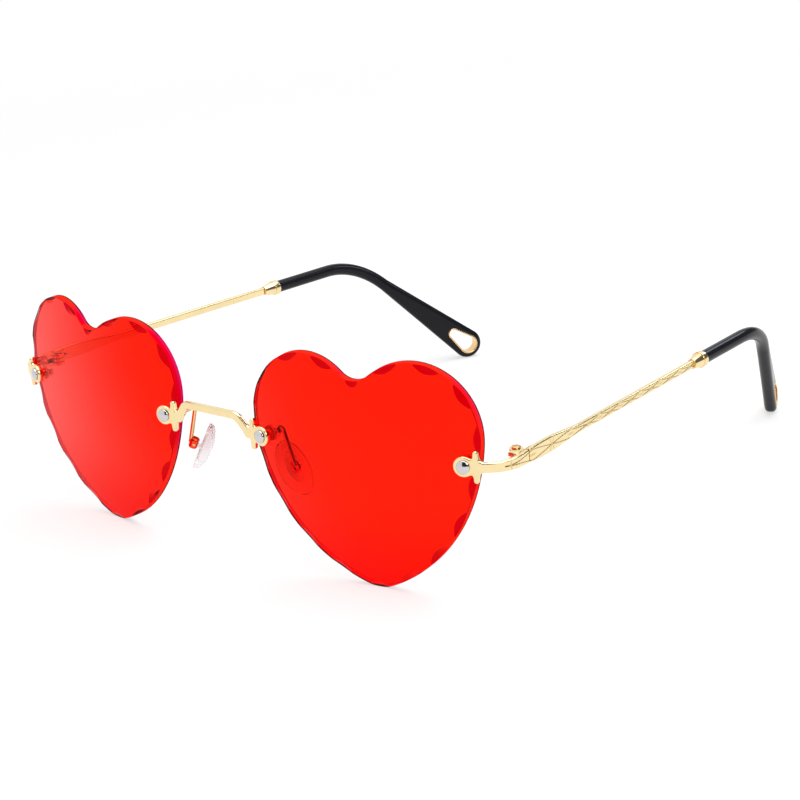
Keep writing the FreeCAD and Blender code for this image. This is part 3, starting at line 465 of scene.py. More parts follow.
def capsule(x, z, start, end, radius):
    """Distance to a bar with round ends."""
    ax, az = start
    bx, bz = end[0] - ax, end[1] - az
    share = np.clip(((x - ax) * bx + (z - az) * bz) / max(bx * bx + bz * bz, 1e-18), 0.0, 1.0)
    return np.hypot(x - ax - share * bx, z - az - share * bz) - radius


def joined(first, second, fillet):
    """The union of two distances, with a fillet where they meet."""
    share = np.clip(0.5 + 0.5 * (second - first) / fillet, 0.0, 1.0)
    return second + (first - second) * share - fillet * share * (1.0 - share)


def lug_distance(fitting, x, z, side):
    """Distance to a lug at the origin, whose prongs and stem lie towards one side."""
    prong = side * fitting.prong_offset
    reach = (fitting.prong_span - fitting.prong_width) / 2
    disc = np.hypot(x, z) - fitting.lug / 2
    neck = capsule(x, z, (0.0, 0.0), (prong, 0.0), fitting.strip / 2)
    taper = np.clip(np.abs(z) / reach, 0.0, 1.0)
    radius = (fitting.prong_root + (fitting.prong_width - fitting.prong_root) * taper) / 2
    prongs = capsule(x, z, (prong, -reach), (prong, reach), radius)
    return joined(joined(disc, neck, fitting.fillet), prongs, fitting.fillet)


def snapped_grid(distance, low, high, cell):
    """Grid points, with those next to the outline moved onto it, and the cells inside."""
    xs = np.arange(low[0], high[0] + cell, cell)
    zs = np.arange(low[1], high[1] + cell, cell)
    x, z = [part.ravel() for part in np.meshgrid(xs, zs)]
    depth = distance(x, z)
    near = np.abs(depth) <= 0.5 * cell
    kept = near | (depth < 0.0)
    step = margin = 0.02 * cell
    rounds = 4
    for _ in range(rounds):
        here = distance(x[near], z[near])
        slope_x = (distance(x[near] + step, z[near]) - distance(x[near] - step, z[near])) / (2 * step)
        slope_z = (distance(x[near], z[near] + step) - distance(x[near], z[near] - step)) / (2 * step)
        steep = np.maximum(slope_x ** 2 + slope_z ** 2, 0.25)
        x[near] -= here * slope_x / steep
        z[near] -= here * slope_z / steep
    grid = np.arange(len(x)).reshape(len(zs), len(xs))
    quads = np.stack([grid[:-1, :-1], grid[:-1, 1:], grid[1:, 1:], grid[1:, :-1]], -1).reshape(-1, 4)
    inside = kept[quads].sum(1)
    centre = distance(x[quads].mean(1), z[quads].mean(1))
    faces = [tuple(quad) for quad in quads[(inside == 4) & (centre < -margin)]]
    for quad in quads[inside == 3]:
        three = [corner for corner in quad if kept[corner]]
        if distance(x[three].mean(keepdims=True), z[three].mean(keepdims=True))[0] < -margin:
            faces.append(tuple(three))
    return x, z, faces


def store(mesh, name, values):
    """Keeps a value for each point of a mesh."""
    mesh.attributes.new(name, "FLOAT", "POINT").data.foreach_set("value", values.astype(np.float32))


def plate(distance, low, high, cell, front, back, place):
    """A closed plate. Front and back give the height of its faces, and place bends it into the frame.
    Its attributes say where each point of the flat plate lay, and whether it is on the front."""
    x, z, faces = snapped_grid(distance, low, high, cell)
    used = np.unique(np.concatenate([np.array(face) for face in faces]))
    order = {old: new for new, old in enumerate(used)}
    faces = [tuple(order[corner] for corner in face) for face in faces]
    x, z = x[used], z[used]
    depth = np.maximum(-distance(x, z), 0.0)
    count = len(used)
    points = np.concatenate([place(x, z, front(x, z, depth)), place(x, z, back(x, z, depth))])
    edges = set()
    for face in faces:
        edges.update(zip(face, face[1:] + face[:1]))
    shell = list(faces)
    shell += [tuple(corner + count for corner in reversed(face)) for face in faces]
    shell += [(b, a, a + count, b + count) for a, b in edges if (b, a) not in edges]
    mesh = bpy.data.meshes.new("plate")
    mesh.from_pydata(points.tolist(), [], shell)
    on_front = np.concatenate([np.ones(count), np.zeros(count)])
    for name, values in (("station", np.tile(x, 2)), ("across", np.tile(z, 2)), ("front", on_front)):
        store(mesh, name, values)
    return turned_out(mesh)


def rounded_edge(depth, rounding):
    """How far a face lies below its full height near the outline."""
    inner = np.clip(rounding - depth, 0.0, rounding)
    return rounding - np.sqrt(np.maximum(rounding ** 2 - inner ** 2, 0.0))


def sheet(distance, low, high, cell, thickness, rounding, place):
    """A plate that rises from zero to one thickness, with rounded edges."""
    def front(x, z, depth):
        return thickness - rounded_edge(depth, rounding)

    def back(x, z, depth):
        return rounded_edge(depth, rounding)
    return plate(distance, low, high, cell, front, back, place)


def flat(x_dir, y_dir, z_dir, base):
    """Puts a plate into the frame unbent; its heights run along the second direction."""
    turn = np.array([x_dir, y_dir, z_dir])

    def place(x, z, height):
        return np.stack([x, height, z], 1) @ turn + np.array(base)
    return place


def along_path(path, level):
    """Bends a plate along a level line of points; heights stand out to the right of the way."""
    path = np.array([(point[0], point[1]) for point in path])
    steps = np.hypot(*np.diff(path, axis=0).T)
    stations = np.concatenate([[0.0], np.cumsum(steps)])
    tangent = np.gradient(path, stations, axis=0)
    tangent /= np.hypot(*tangent.T)[:, None]

    def place(x, z, height):
        px = np.interp(x, stations, path[:, 0])
        py = np.interp(x, stations, path[:, 1])
        tx = np.interp(x, stations, tangent[:, 0])
        ty = np.interp(x, stations, tangent[:, 1])
        return np.stack([px + ty * height, py - tx * height, level + z], 1)
    return place


def softened(path, rounds=3):
    """Cuts the corners of a line of points, round after round."""
    for _ in range(rounds):
        quarters = [spot for first, second in zip(path, path[1:])
                    for spot in (first.lerp(second, 0.25), first.lerp(second, 0.75))]
        path = [path[0]] + quarters[1:-1] + [path[-1]]
    return path


def line(start, end, step=0.1 * MM):
    count = max(2, int((end - start).length / step))
    return [start.lerp(end, number / count) for number in range(count)]


# Geometry node trees

def feed(tree, socket, value):
    """Links a socket to another one, or sets its value."""
    if isinstance(value, bpy.types.NodeSocket):
        tree.links.new(value, socket)
    else:
        socket.default_value = value


def add_node(tree, kind, **values):
    """A node with its inputs linked or set; names with underscores stand for spaces."""
    node = tree.nodes.new(kind)
    for name, value in values.items():
        feed(tree, node.inputs[name.replace("_", " ")], value)
    return node


def calculated(tree, operation, *values):
    """The result of a Math node."""
    node = tree.nodes.new("ShaderNodeMath")
    node.operation = operation
    for socket, value in zip(node.inputs, values):
        feed(tree, socket, value)
    return node.outputs[0]


class Tree:
    """A geometry node tree with named inputs, whose arithmetic reads like a formula."""

    def __init__(self, name, inputs):
        self.group = bpy.data.node_groups.new(name, "GeometryNodeTree")
        face = self.group.interface
        face.new_socket("Geometry", in_out="OUTPUT", socket_type="NodeSocketGeometry")
        face.new_socket("Geometry", in_out="INPUT", socket_type="NodeSocketGeometry")
        for label, kind in inputs:
            face.new_socket(label, in_out="INPUT", socket_type="NodeSocket" + kind)
        self.inputs = self.add("NodeGroupInput").outputs

    def add(self, kind, **values):
        return add_node(self.group, kind, **values)

    def math(self, operation, *values):
        return calculated(self.group, operation, *values)

    def attribute(self, name, kind="FLOAT"):
        node = self.add("GeometryNodeInputNamedAttribute", Name=name)
        node.data_type = kind
        return node.outputs["Attribute"]

    def finish(self, geometry):
        """Ends the tree in Realize Instances and Set Material."""
        real = self.add("GeometryNodeRealizeInstances", Geometry=geometry)
        material = self.add("GeometryNodeSetMaterial", Geometry=real.outputs[0],
                            Material=self.inputs["Material"])
        self.add("NodeGroupOutput", Geometry=material.outputs[0])
        return self.group


def grown(mesh, name, values):
    """The plain mesh that a tree makes of a mesh; its inputs are set before it is evaluated."""
    group = bpy.data.node_groups.get(name) or TREES[name]()
    work = link_object("work", mesh)
    modifier = work.modifiers.new("Nodes", "NODES")
    modifier.node_group = group
    for item in group.interface.items_tree:
        if item.in_out == "INPUT" and item.name in values:
            modifier[item.identifier] = values[item.name]
    return evaluated_mesh(work)


def engraving_tree():
    """Cuts crossing lines, with short strokes at each crossing and a leaf in each diamond."""
    sizes = ("Groove Depth", "Groove Width", "Stroke Reach", "Leaf Length")
    tree = Tree("Engraving", [(size, "Float") for size in sizes] + [("Material", "Material")])
    own = tree.inputs
    calc = tree.math
    line_rise = 1.5
    stroke_slant = 0.4
    leaf_height = 0.3
    leaf_depth = 0.6
    half_height = tree.attribute("half_height")
    pitch = tree.attribute("pitch")
    height = calc("ABSOLUTE", tree.attribute("across"))
    half_width = calc("MULTIPLY", own["Groove Width"], 0.5)
    share = calc("PINGPONG", tree.attribute("phase"), 0.5)
    from_crossing = calc("MULTIPLY", share, pitch)
    line_height = calc("MULTIPLY", calc("MULTIPLY", share, line_rise), half_height)
    from_line = calc("ABSOLUTE", calc("SUBTRACT", height, line_height))
    lines = calc("SUBTRACT", 1.0, calc("DIVIDE", from_line, half_width))
    stroke_place = calc("SUBTRACT", from_crossing, half_width)
    from_stroke = calc("ABSOLUTE", calc("SUBTRACT", calc("MULTIPLY", height, stroke_slant), stroke_place))
    strokes = calc("SUBTRACT", 1.0, calc("DIVIDE", from_stroke, half_width))
    strokes = calc("MULTIPLY", strokes, calc("LESS_THAN", from_crossing, own["Stroke Reach"]))
    from_middle = calc("SUBTRACT", calc("MULTIPLY", pitch, 0.5), from_crossing)
    leaf_long = calc("POWER", calc("DIVIDE", from_middle, own["Leaf Length"]), 2.0)
    leaf_wide = calc("POWER", calc("DIVIDE", height, calc("MULTIPLY", half_height, leaf_height)), 2.0)
    leaf = calc("SUBTRACT", 1.0, calc("ADD", leaf_long, leaf_wide))
    deepest = calc("MAXIMUM", calc("MAXIMUM", lines, strokes), calc("MULTIPLY", leaf, leaf_depth))
    deepest = calc("MINIMUM", calc("MAXIMUM", deepest, 0.0), 1.0)
    groove = calc("MULTIPLY", deepest, tree.attribute("engraved"))
    cut_depth = calc("MULTIPLY", groove, calc("MULTIPLY", own["Groove Depth"], -1.0))
    inwards = tree.add("ShaderNodeVectorMath")
    inwards.operation = "SCALE"
    feed(tree.group, inwards.inputs[0], tree.add("GeometryNodeInputNormal").outputs[0])
    feed(tree.group, inwards.inputs["Scale"], cut_depth)
    marked = tree.add("GeometryNodeStoreNamedAttribute", Geometry=own["Geometry"], Name="groove",
                      Value=groove)
    moved = tree.add("GeometryNodeSetPosition", Geometry=marked.outputs[0], Offset=inwards.outputs[0])
    return tree.finish(moved.outputs[0])


def wire_tree():
    """A round wire along a line of edges, with its corners rounded."""
    tree = Tree("Bent wire", [("Radius", "Float"), ("Bend", "Float"), ("Material", "Material")])
    curve = tree.add("GeometryNodeMeshToCurve", Mesh=tree.inputs["Geometry"])
    bent = tree.add("GeometryNodeFilletCurve", Curve=curve.outputs[0], Radius=tree.inputs["Bend"])
    bent.mode = "POLY"
    bent.inputs["Count"].default_value = 12
    ring = tree.add("GeometryNodeCurvePrimitiveCircle", Resolution=32, Radius=tree.inputs["Radius"])
    tube = tree.add("GeometryNodeCurveToMesh", Curve=bent.outputs[0], Profile_Curve=ring.outputs[0],
                    Fill_Caps=True)
    return tree.finish(tube.outputs[0])


def rim_tree():
    """An eyelet along a closed line: a wall through the paddle and a rolled bead on each face."""
    names = ("Wall", "Depth", "Bead", "Bead Height")
    tree = Tree("Rolled rim", [(name, "Float") for name in names] + [("Material", "Material")])
    curve = tree.add("GeometryNodeMeshToCurve", Mesh=tree.inputs["Geometry"]).outputs[0]
    upright = tree.add("GeometryNodeSetCurveNormal", Curve=curve)
    upright.mode = "Z_UP"
    section = tree.add("GeometryNodeCurvePrimitiveQuadrilateral", Width=tree.inputs["Wall"],
                       Height=tree.inputs["Depth"])
    wall = tree.add("GeometryNodeCurveToMesh", Curve=upright.outputs[0], Profile_Curve=section.outputs[0])
    ring = tree.add("GeometryNodeCurvePrimitiveCircle", Resolution=20, Radius=tree.inputs["Bead"])
    bead = tree.add("GeometryNodeCurveToMesh", Curve=upright.outputs[0], Profile_Curve=ring.outputs[0])
    join = tree.add("GeometryNodeJoinGeometry")
    tree.group.links.new(wall.outputs[0], join.inputs[0])
    for sign in (1.0, -1.0):
        shift = tree.add("ShaderNodeCombineXYZ", Z=tree.math("MULTIPLY", tree.inputs["Bead Height"], sign))
        lifted = tree.add("GeometryNodeTransform", Geometry=bead.outputs[0], Translation=shift.outputs[0])
        tree.group.links.new(lifted.outputs[0], join.inputs[0])
    return tree.finish(join.outputs[0])


def fastening_tree():
    """One fastening on each point, turned along the point's screw."""
    tree = Tree("Fastenings", [("Fastening", "Object"), ("Material", "Material")])
    shape = tree.add("GeometryNodeObjectInfo", Object=tree.inputs["Fastening"])
    turn = tree.add("FunctionNodeAlignRotationToVector", Vector=tree.attribute("screw", "FLOAT_VECTOR"))
    turn.axis = "Z"
    placed = tree.add("GeometryNodeInstanceOnPoints", Points=tree.inputs["Geometry"],
                      Instance=shape.outputs["Geometry"], Rotation=turn.outputs[0])
    return tree.finish(placed.outputs[0])


TREES = {"Engraving": engraving_tree, "Bent wire": wire_tree, "Rolled rim": rim_tree,
         "Fastenings": fastening_tree}


# Materials

def mixed(tree, factor, first, second):
    """A shader between two shader nodes."""
    mix = tree.nodes.new("ShaderNodeMixShader")
    for socket, value in zip(mix.inputs, (factor, first.outputs[0], second.outputs[0])):
        feed(tree, socket, value)
    return mix


def ramped(tree, value, low, high):
    """Rises from nought at low to one at high."""
    spread = add_node(tree, "ShaderNodeMapRange", Value=value, From_Min=low, From_Max=high)
    spread.interpolation_type = "SMOOTHSTEP"
    return spread.outputs[0]


def blended(tree, factor, first, second):
    """A colour between two; either is a colour or the socket of one."""
    mix = tree.nodes.new("ShaderNodeMix")
    mix.data_type = "RGBA"
    feed(tree, mix.inputs["Factor"], factor)
    for name, part in (("A", first), ("B", second)):
        feed(tree, mix.inputs[name], part if isinstance(part, bpy.types.NodeSocket) else (*part, 1.0))
    return mix.outputs["Result"]


def facing(tree):
    """Nought where a surface faces the eye and one where it is seen edge on."""
    return add_node(tree, "ShaderNodeLayerWeight", Blend=0.5).outputs["Facing"]


def upright(tree, direction):
    """The upright part of a direction or a place."""
    return add_node(tree, "ShaderNodeSeparateXYZ", Vector=direction).outputs["Z"]


def height(tree):
    """How high a point lies over the table."""
    return upright(tree, tree.nodes.new("ShaderNodeTexCoord").outputs["Object"])


def stored(tree, name):
    """A value that is kept for each point of the mesh."""
    mask = tree.nodes.new("ShaderNodeAttribute")
    mask.attribute_name = name
    return mask.outputs["Fac"]


def handled_finish():
    """A group that spreads faint cloudy wear over a surface: a mask, a roughness and a fine relief."""
    found = bpy.data.node_groups.get("Handled finish")
    if found:
        return found
    group = bpy.data.node_groups.new("Handled finish", "ShaderNodeTree")
    for name, value in (("Scale", 300.0), ("Smoothest", 0.1), ("Roughest", 0.2)):
        group.interface.new_socket(name, in_out="INPUT", socket_type="NodeSocketFloat").default_value = value
    for name in ("Mask", "Roughness", "Height"):
        group.interface.new_socket(name, in_out="OUTPUT", socket_type="NodeSocketFloat")
    own = group.nodes.new("NodeGroupInput").outputs
    place = group.nodes.new("ShaderNodeTexCoord").outputs["Object"]
    clouds = add_node(group, "ShaderNodeTexNoise", Vector=place, Scale=own["Scale"], Detail=4.0,
                      Roughness=0.6)
    grain = add_node(group, "ShaderNodeTexNoise", Vector=place, Scale=4000.0, Detail=2.0)
    spread = add_node(group, "ShaderNodeMapRange", Value=clouds.outputs[0], From_Min=0.3, From_Max=0.7,
                      To_Min=own["Smoothest"], To_Max=own["Roughest"])
    add_node(group, "NodeGroupOutput", Mask=clouds.outputs[0], Roughness=spread.outputs[0],
             Height=grain.outputs[0])
    return group


def shade(tint, share):
    return tuple(part * share for part in tint)


def finish_material(name, tint, fade, scale, roughness, relief=0.0, **values):
    """A Principled material with the handled finish; its colour runs from the tint to a faded one."""
    made = bpy.data.materials.new(name)
    made.use_nodes = True
    tree = made.node_tree
    wear = tree.nodes.new("ShaderNodeGroup")
    wear.node_tree = handled_finish()
    for label, value in zip(("Scale", "Smoothest", "Roughest"), (scale, *roughness)):
        wear.inputs[label].default_value = value
    surface = tree.nodes["Principled BSDF"].inputs
    for label, value in values.items():
        surface[label.replace("_", " ")].default_value = value
    feed(tree, surface["Base Color"], blended(tree, wear.outputs["Mask"], tint, shade(tint, fade)))
    feed(tree, surface["Roughness"], wear.outputs["Roughness"])
    if relief:
        bump = add_node(tree, "ShaderNodeBump", Height=wear.outputs["Height"], Strength=relief,
                        Distance=0.01 * MM)
        feed(tree, surface["Normal"], bump.outputs[0])
    return made


def base_colour(made):
    """What feeds the base colour of a material."""
    return made.node_tree.nodes["Principled BSDF"].inputs["Base Color"].links[0].from_socket


def recolour(made, colour_socket):
    feed(made.node_tree, made.node_tree.nodes["Principled BSDF"].inputs["Base Color"], colour_socket)
    return made


def overlaid(made, mask, tint):
    """Lays a tint over the colour of a material, as far as a mask goes."""
    return recolour(made, blended(made.node_tree, mask, base_colour(made), tint))


def let_lamps_through(made, tint):
    """Lamps shine through the material in a tint, so its shadow is coloured."""
    tree = made.node_tree
    path = tree.nodes.new("ShaderNodeLightPath").outputs
    clear = add_node(tree, "ShaderNodeBsdfTransparent", Color=(*tint, 1.0))
    shown = mixed(tree, path["Is Shadow Ray"], tree.nodes["Principled BSDF"], clear)
    feed(tree, tree.nodes["Material Output"].inputs["Surface"], shown.outputs[0])
    return made


def clear_material(name, tint, fade, scale, roughness, **values):
    """A clear plastic that takes its colour in full."""
    return finish_material(name, tint, fade, scale, roughness, Transmission_Weight=1.0, **values)


def lens_material(name, lens):
    """Tinted plastic with a painted paler sheen where it is seen from the side; deeper red towards the table."""
    made = clear_material(name, lens.tint, fade=0.97, scale=40.0, roughness=(0.0, 0.03), IOR=1.1)
    tree = made.node_tree
    level = height(tree)
    # Painted sheen: the paler red goes where the lens is seen edge on, above the table.
    aside = calculated(tree, "MULTIPLY", ramped(tree, facing(tree), 0.28, 0.66),
                       ramped(tree, level, -0.01, 0.036))
    overlaid(made, aside, lens.side_tint)
    recolour(made, blended(tree, ramped(tree, level, -0.004, 0.022), lens.low_tint, base_colour(made)))
    return let_lamps_through(made, lens.shadow_tint)


def facet_material(name, lens, slant_tint):
    """The lens again, with painted shade: as bright where a scallop faces the light overhead, darker at the sides
    of the heart, and in another tint where it is seen at a slant, which on the facet line is a painted dark line
    of shade."""
    made = clear_material(name, lens.tint, fade=0.97, scale=40.0, roughness=(0.0, 0.05), IOR=1.1)
    tree = made.node_tree
    bright = base_colour(made)
    # Painted shade: scallops whose normal points up stay bright; those turned to the side take the darker facet
    # shade tint.
    slope = upright(tree, tree.nodes.new("ShaderNodeNewGeometry").outputs["Normal"])
    dark = blended(tree, ramped(tree, slope, -0.5, -0.3), bright, lens.facet_tint)
    recolour(made, blended(tree, ramped(tree, slope, 0.42, 0.46), dark, bright))
    overlaid(made, ramped(tree, facing(tree), 0.38, 0.47), slant_tint)
    return let_lamps_through(made, lens.shadow_tint)


def wall_material(name, lens, front_shade_tint):
    """The wall round the lens: red, with a painted darker shade tint where it is seen from its front."""
    made = finish_material(name, lens.wall_tint, fade=0.9, scale=60.0, roughness=(0.1, 0.2),
                           Specular_IOR_Level=0.0)
    tree = made.node_tree
    return recolour(made, blended(tree, ramped(tree, facing(tree), 0.3, 0.5), front_shade_tint, base_colour(made)))


def edge_material(name, lens, inside):
    """The wall's edge: a fine painted dark line of shade that shows from inside the lens or from outside it, at a
    slant.
    """
    made = wall_material(name, lens, lens.front_wall_tint if inside else lens.rim_tint)
    tree = made.node_tree
    wall = base_colour(made)
    dark = blended(tree, ramped(tree, facing(tree), 0.2, 0.4), lens.rim_tint, lens.edge_tint)
    behind = tree.nodes.new("ShaderNodeNewGeometry").outputs["Backfacing"]
    return recolour(made, blended(tree, behind, wall, dark) if inside else blended(tree, behind, dark, wall))


def metal_material(name, tint, fade=0.9, scale=260.0, roughness=(0.12, 0.26), relief=0.04):
    return finish_material(name, tint, fade, scale, roughness, relief, Metallic=1.0)


def gold_material(name, fitting):
    """Polished plating, browner at the bottom of the engraving."""
    made = metal_material(name, fitting.gold, fade=0.93, roughness=(0.12, 0.24))
    tree = made.node_tree
    return overlaid(made, ramped(tree, stored(tree, "groove"), 0.0, 0.9), fitting.groove)


def pad_material(name, pad):
    """Clear silicone with painted red light from the lenses over its upper half."""
    made = finish_material(name, pad.silicone, fade=0.97, scale=220.0, roughness=(0.12, 0.3), relief=0.06,
                           Transmission_Weight=0.85, IOR=1.25)
    tree = made.node_tree
    # Painted light: the pink of the lenses laid over the upper half of the pad.
    overlaid(made, ramped(tree, height(tree), 0.018, 0.026), pad.blush)
    return let_lamps_through(made, pad.silicone)


def insert_material(name, tint):
    """The clear plastic of the sleeves, the washers and the inserts of the pads."""
    made = clear_material(name, tint, fade=0.95, scale=200.0, roughness=(0.03, 0.1), IOR=1.3)
    return let_lamps_through(made, tint)


def black_material(name, tint):
    return finish_material(name, tint, fade=1.6, scale=180.0, roughness=(0.14, 0.24), relief=0.05,
                           Specular_IOR_Level=0.15)


def material(name):
    """A material by its name, made when it is first asked for."""
    found = bpy.data.materials.get(name)
    if found:
        return found
    own = settings()
    lens, fitting = own.lens, own.fitting
    makers = {
        # The lens materials: a painted sheen on the lens, painted shade on its facets, wall, rim and edges.
        "red_lens": lambda: lens_material(name, lens),
        "ground_facet": lambda: facet_material(name, lens, lens.tint),
        "facet_line": lambda: facet_material(name, lens, lens.line_tint),
        "front_edge": lambda: edge_material(name, lens, True),
        "lens_wall": lambda: wall_material(name, lens, lens.front_wall_tint),
        "lens_rim": lambda: wall_material(name, lens, lens.rim_tint),
        "back_edge": lambda: edge_material(name, lens, False),
        "polished_gold": lambda: gold_material(name, fitting),
        "rose_gold": lambda: metal_material(name, fitting.rose),
        # Painted reflection: the pad boxes take the red of the lenses.
        "box_copper": lambda: metal_material(name, fitting.copper),
        "screw_steel": lambda: metal_material(name, fitting.steel, scale=400.0, roughness=(0.06, 0.14),
                                              relief=0.03),
        "black_gloss": lambda: black_material(name, own.tip.black),
        "clear_plastic": lambda: insert_material(name, own.pad.insert_tint),
        "pad_silicone": lambda: pad_material(name, own.pad),
    }
    return makers[name]()


# Heart shaped lenses

def circles_meet(first, first_radius, second, second_radius, side):
    """Where two circles cross, on one side of the line between their centres."""
    span = np.hypot(*(second - first))
    along = (first_radius ** 2 - second_radius ** 2 + span ** 2) / (2 * span)
    away = math.sqrt(first_radius ** 2 - along ** 2)
    unit = (second - first) / span
    return first + unit * along + np.array([-unit[1], unit[0]]) * away * side


def towards(centre, radius, point):
    return centre + (point - centre) * radius / np.hypot(*(point - centre))


def heart_arcs(lens):
    """Arcs round the heart from the notch over the outer lobe: centre, radius, first angle and turn."""
    half_width, half_height = lens.width / 2, lens.height / 2
    outer = np.array([half_width - lens.outer_lobe, half_height - lens.outer_lobe])
    inner = np.array([lens.inner_lobe - half_width, half_height - lens.inner_drop - lens.inner_lobe])
    point = np.array([lens.point_shift, lens.point_radius - half_height])
    outer_flank = circles_meet(outer, lens.outer_flank - lens.outer_lobe,
                               point, lens.outer_flank - lens.point_radius, -1)
    inner_flank = circles_meet(inner, lens.inner_flank - lens.inner_lobe,
                               point, lens.inner_flank - lens.point_radius, 1)
    notch = circles_meet(outer, lens.outer_lobe + lens.notch, inner, lens.inner_lobe + lens.notch, -1)
    joints = [towards(outer, lens.outer_lobe, notch), towards(outer_flank, lens.outer_flank, outer),
              towards(outer_flank, lens.outer_flank, point), towards(inner_flank, lens.inner_flank, point),
              towards(inner_flank, lens.inner_flank, inner), towards(inner, lens.inner_lobe, notch)]
    circles = [(outer, lens.outer_lobe), (outer_flank, lens.outer_flank), (point, lens.point_radius),
               (inner_flank, lens.inner_flank), (inner, lens.inner_lobe), (notch, lens.notch)]
    arcs = []
    for number, (centre, radius) in enumerate(circles):
        start = joints[number] - centre
        end = joints[(number + 1) % 6] - centre
        first = math.atan2(start[1], start[0])
        turn = math.atan2(end[1], end[0]) - first
        turn = turn % (2 * math.pi) if centre is notch else -(-turn % (2 * math.pi))
        arcs.append((centre, radius, first, turn))
    return arcs


def on_arc(arc, travel):
    """A point of an arc and its outward normal; the notch's normal points at its centre."""
    centre, radius, first, turn = arc
    here = first + math.copysign(travel / radius, turn)
    unit = np.array([math.cos(here), math.sin(here)])
    return centre + unit * radius, unit if turn < 0 else -unit


def heart_outline(lens):
    """Points round the heart at even distances, and their outward normals."""
    points = []
    normals = []
    for arc in heart_arcs(lens):
        span = abs(arc[3]) * arc[1]
        count = max(8, round(span / lens.spacing))
        for number in range(count):
            point, normal = on_arc(arc, span * number / count)
            points.append(point)
            normals.append(normal)
    return np.array(points), np.array(normals)


def facet_wheels(lens):
    """The place, normal, radius and depth of each grinding wheel."""
    arcs = heart_arcs(lens)
    spans = [abs(arc[3]) * arc[1] for arc in arcs]
    pitch = sum(spans[:-1]) / lens.facets
    wheels = []
    for number in range(lens.facets):
        travel = (number + 0.5) * pitch
        index = 0
        while travel > spans[index]:
            travel -= spans[index]
            index += 1
        wheels.append((*on_arc(arcs[index], travel), lens.wheel, lens.facet_depth))
    wheels.append((*on_arc(arcs[-1], spans[-1] / 2), lens.notch_wheel, lens.notch_depth))
    return wheels


def ground_depth(lens, points):
    """How deep the wheels grind at each point of the outline."""
    deepest = np.zeros(len(points))
    for place, normal, radius, depth in facet_wheels(lens):
        along = (points - place) @ np.array([-normal[1], normal[0]])
        outward = (points - place) @ normal
        sag = radius - np.sqrt(np.maximum(radius ** 2 - along ** 2, 0.0))
        cutting = depth - sag + outward * math.cos(lens.facet_angle)
        deepest = np.maximum(deepest, np.where(np.abs(along) < radius, cutting, 0.0))
    return deepest


def lens_rings(lens):
    """Rings of points from the middle of the front face over the edge to the middle of the back."""
    points, normals = heart_outline(lens)
    points = points - normals * lens.inset
    back_radius = lens.face_radius - lens.thickness

    def on_face(flat, radius):
        depth = lens.face_radius - np.sqrt(radius ** 2 - (flat ** 2).sum(1))
        return np.stack([flat[:, 0], depth, flat[:, 1]], 1)

    cutting = ground_depth(lens, points)
    drop = np.maximum(cutting / math.sin(lens.facet_angle), lens.arris)[:, None]
    inset = np.maximum(cutting / math.cos(lens.facet_angle), lens.arris)[:, None]
    inner = points - normals * inset
    backwards = np.array([[0.0, 1.0, 0.0]])
    facet_top = on_face(inner, lens.face_radius)
    facet_foot = on_face(points, lens.face_radius) + backwards * drop
    back_edge = on_face(points, back_radius)
    front_shares = (0.02, 0.15, 0.3, 0.45, 0.6, 0.72)
    back_shares = front_shares + (0.83, 0.92, 0.97)
    rings = [on_face(points * share, lens.face_radius) for share in front_shares]
    rings += [on_face((points * front_shares[-1] + inner) / 2, lens.face_radius),
              facet_top,
              facet_foot + (facet_top - facet_foot) * np.minimum(lens.line / inset, 0.5),
              facet_foot,
              facet_foot + backwards * lens.front_line,
              (facet_foot + back_edge) / 2,
              back_edge - backwards * (lens.arris + lens.back_line),
              back_edge - backwards * lens.arris,
              on_face(points - normals * lens.arris, back_radius)]
    rings += [on_face(points * share, back_radius) for share in reversed(back_shares)]
    return rings


def lens_mesh(own):
    """A curved heart with ground edges and two holes; each ring of its edge has a material of its own."""
    lens = own.lens
    rings = lens_rings(lens)
    count = len(rings[0])
    turn = Matrix.Rotation(lens.wrap, 3, "Z") @ Matrix.Rotation(lens.tilt, 3, "X")
    base = shell_centre(lens) - turn @ Vector((0.0, lens.face_radius, 0.0))
    points = np.concatenate(rings) @ np.array(turn).T + np.array(base)
    ends = [tuple(range(count)), tuple(range(len(points) - 1, len(points) - count - 1, -1))]
    faces = ends + ring_quads(len(rings), count)
    mesh = bpy.data.meshes.new("lens")
    mesh.from_pydata(points.tolist(), [], faces)
    tones = ("red_lens", "ground_facet", "facet_line", "front_edge", "lens_wall", "lens_rim", "back_edge",
             "back_edge")
    painted(mesh, *[material(tone) for tone in tones])
    facet_ring = 7
    for number, face in enumerate(mesh.polygons):
        tone = (number - len(ends)) // count - facet_ring + 1
        face.material_index = tone if 0 < tone < len(tones) else 0
    holes = [drill(own, node) for node in ("bridge_sleeve_left", "endpiece_sleeve_left")]
    return smooth(cut(turned_out(mesh), *holes), 7.0)


def drill(own, node):
    """A rod through the lens at a screw."""
    seat, back = screw_seat(own.lens, node)
    radius = own.lens.hole / 2
    reach = own.lens.thickness
    rod = lathe([(0.0, -reach), (radius, -reach), (radius, 2 * reach), (0.0, 2 * reach)], 72)
    rod.transform(Matrix.Translation(seat) @ back.to_track_quat("Z", "Y").to_matrix().to_4x4())
    return rod


# Sheet metal of the front

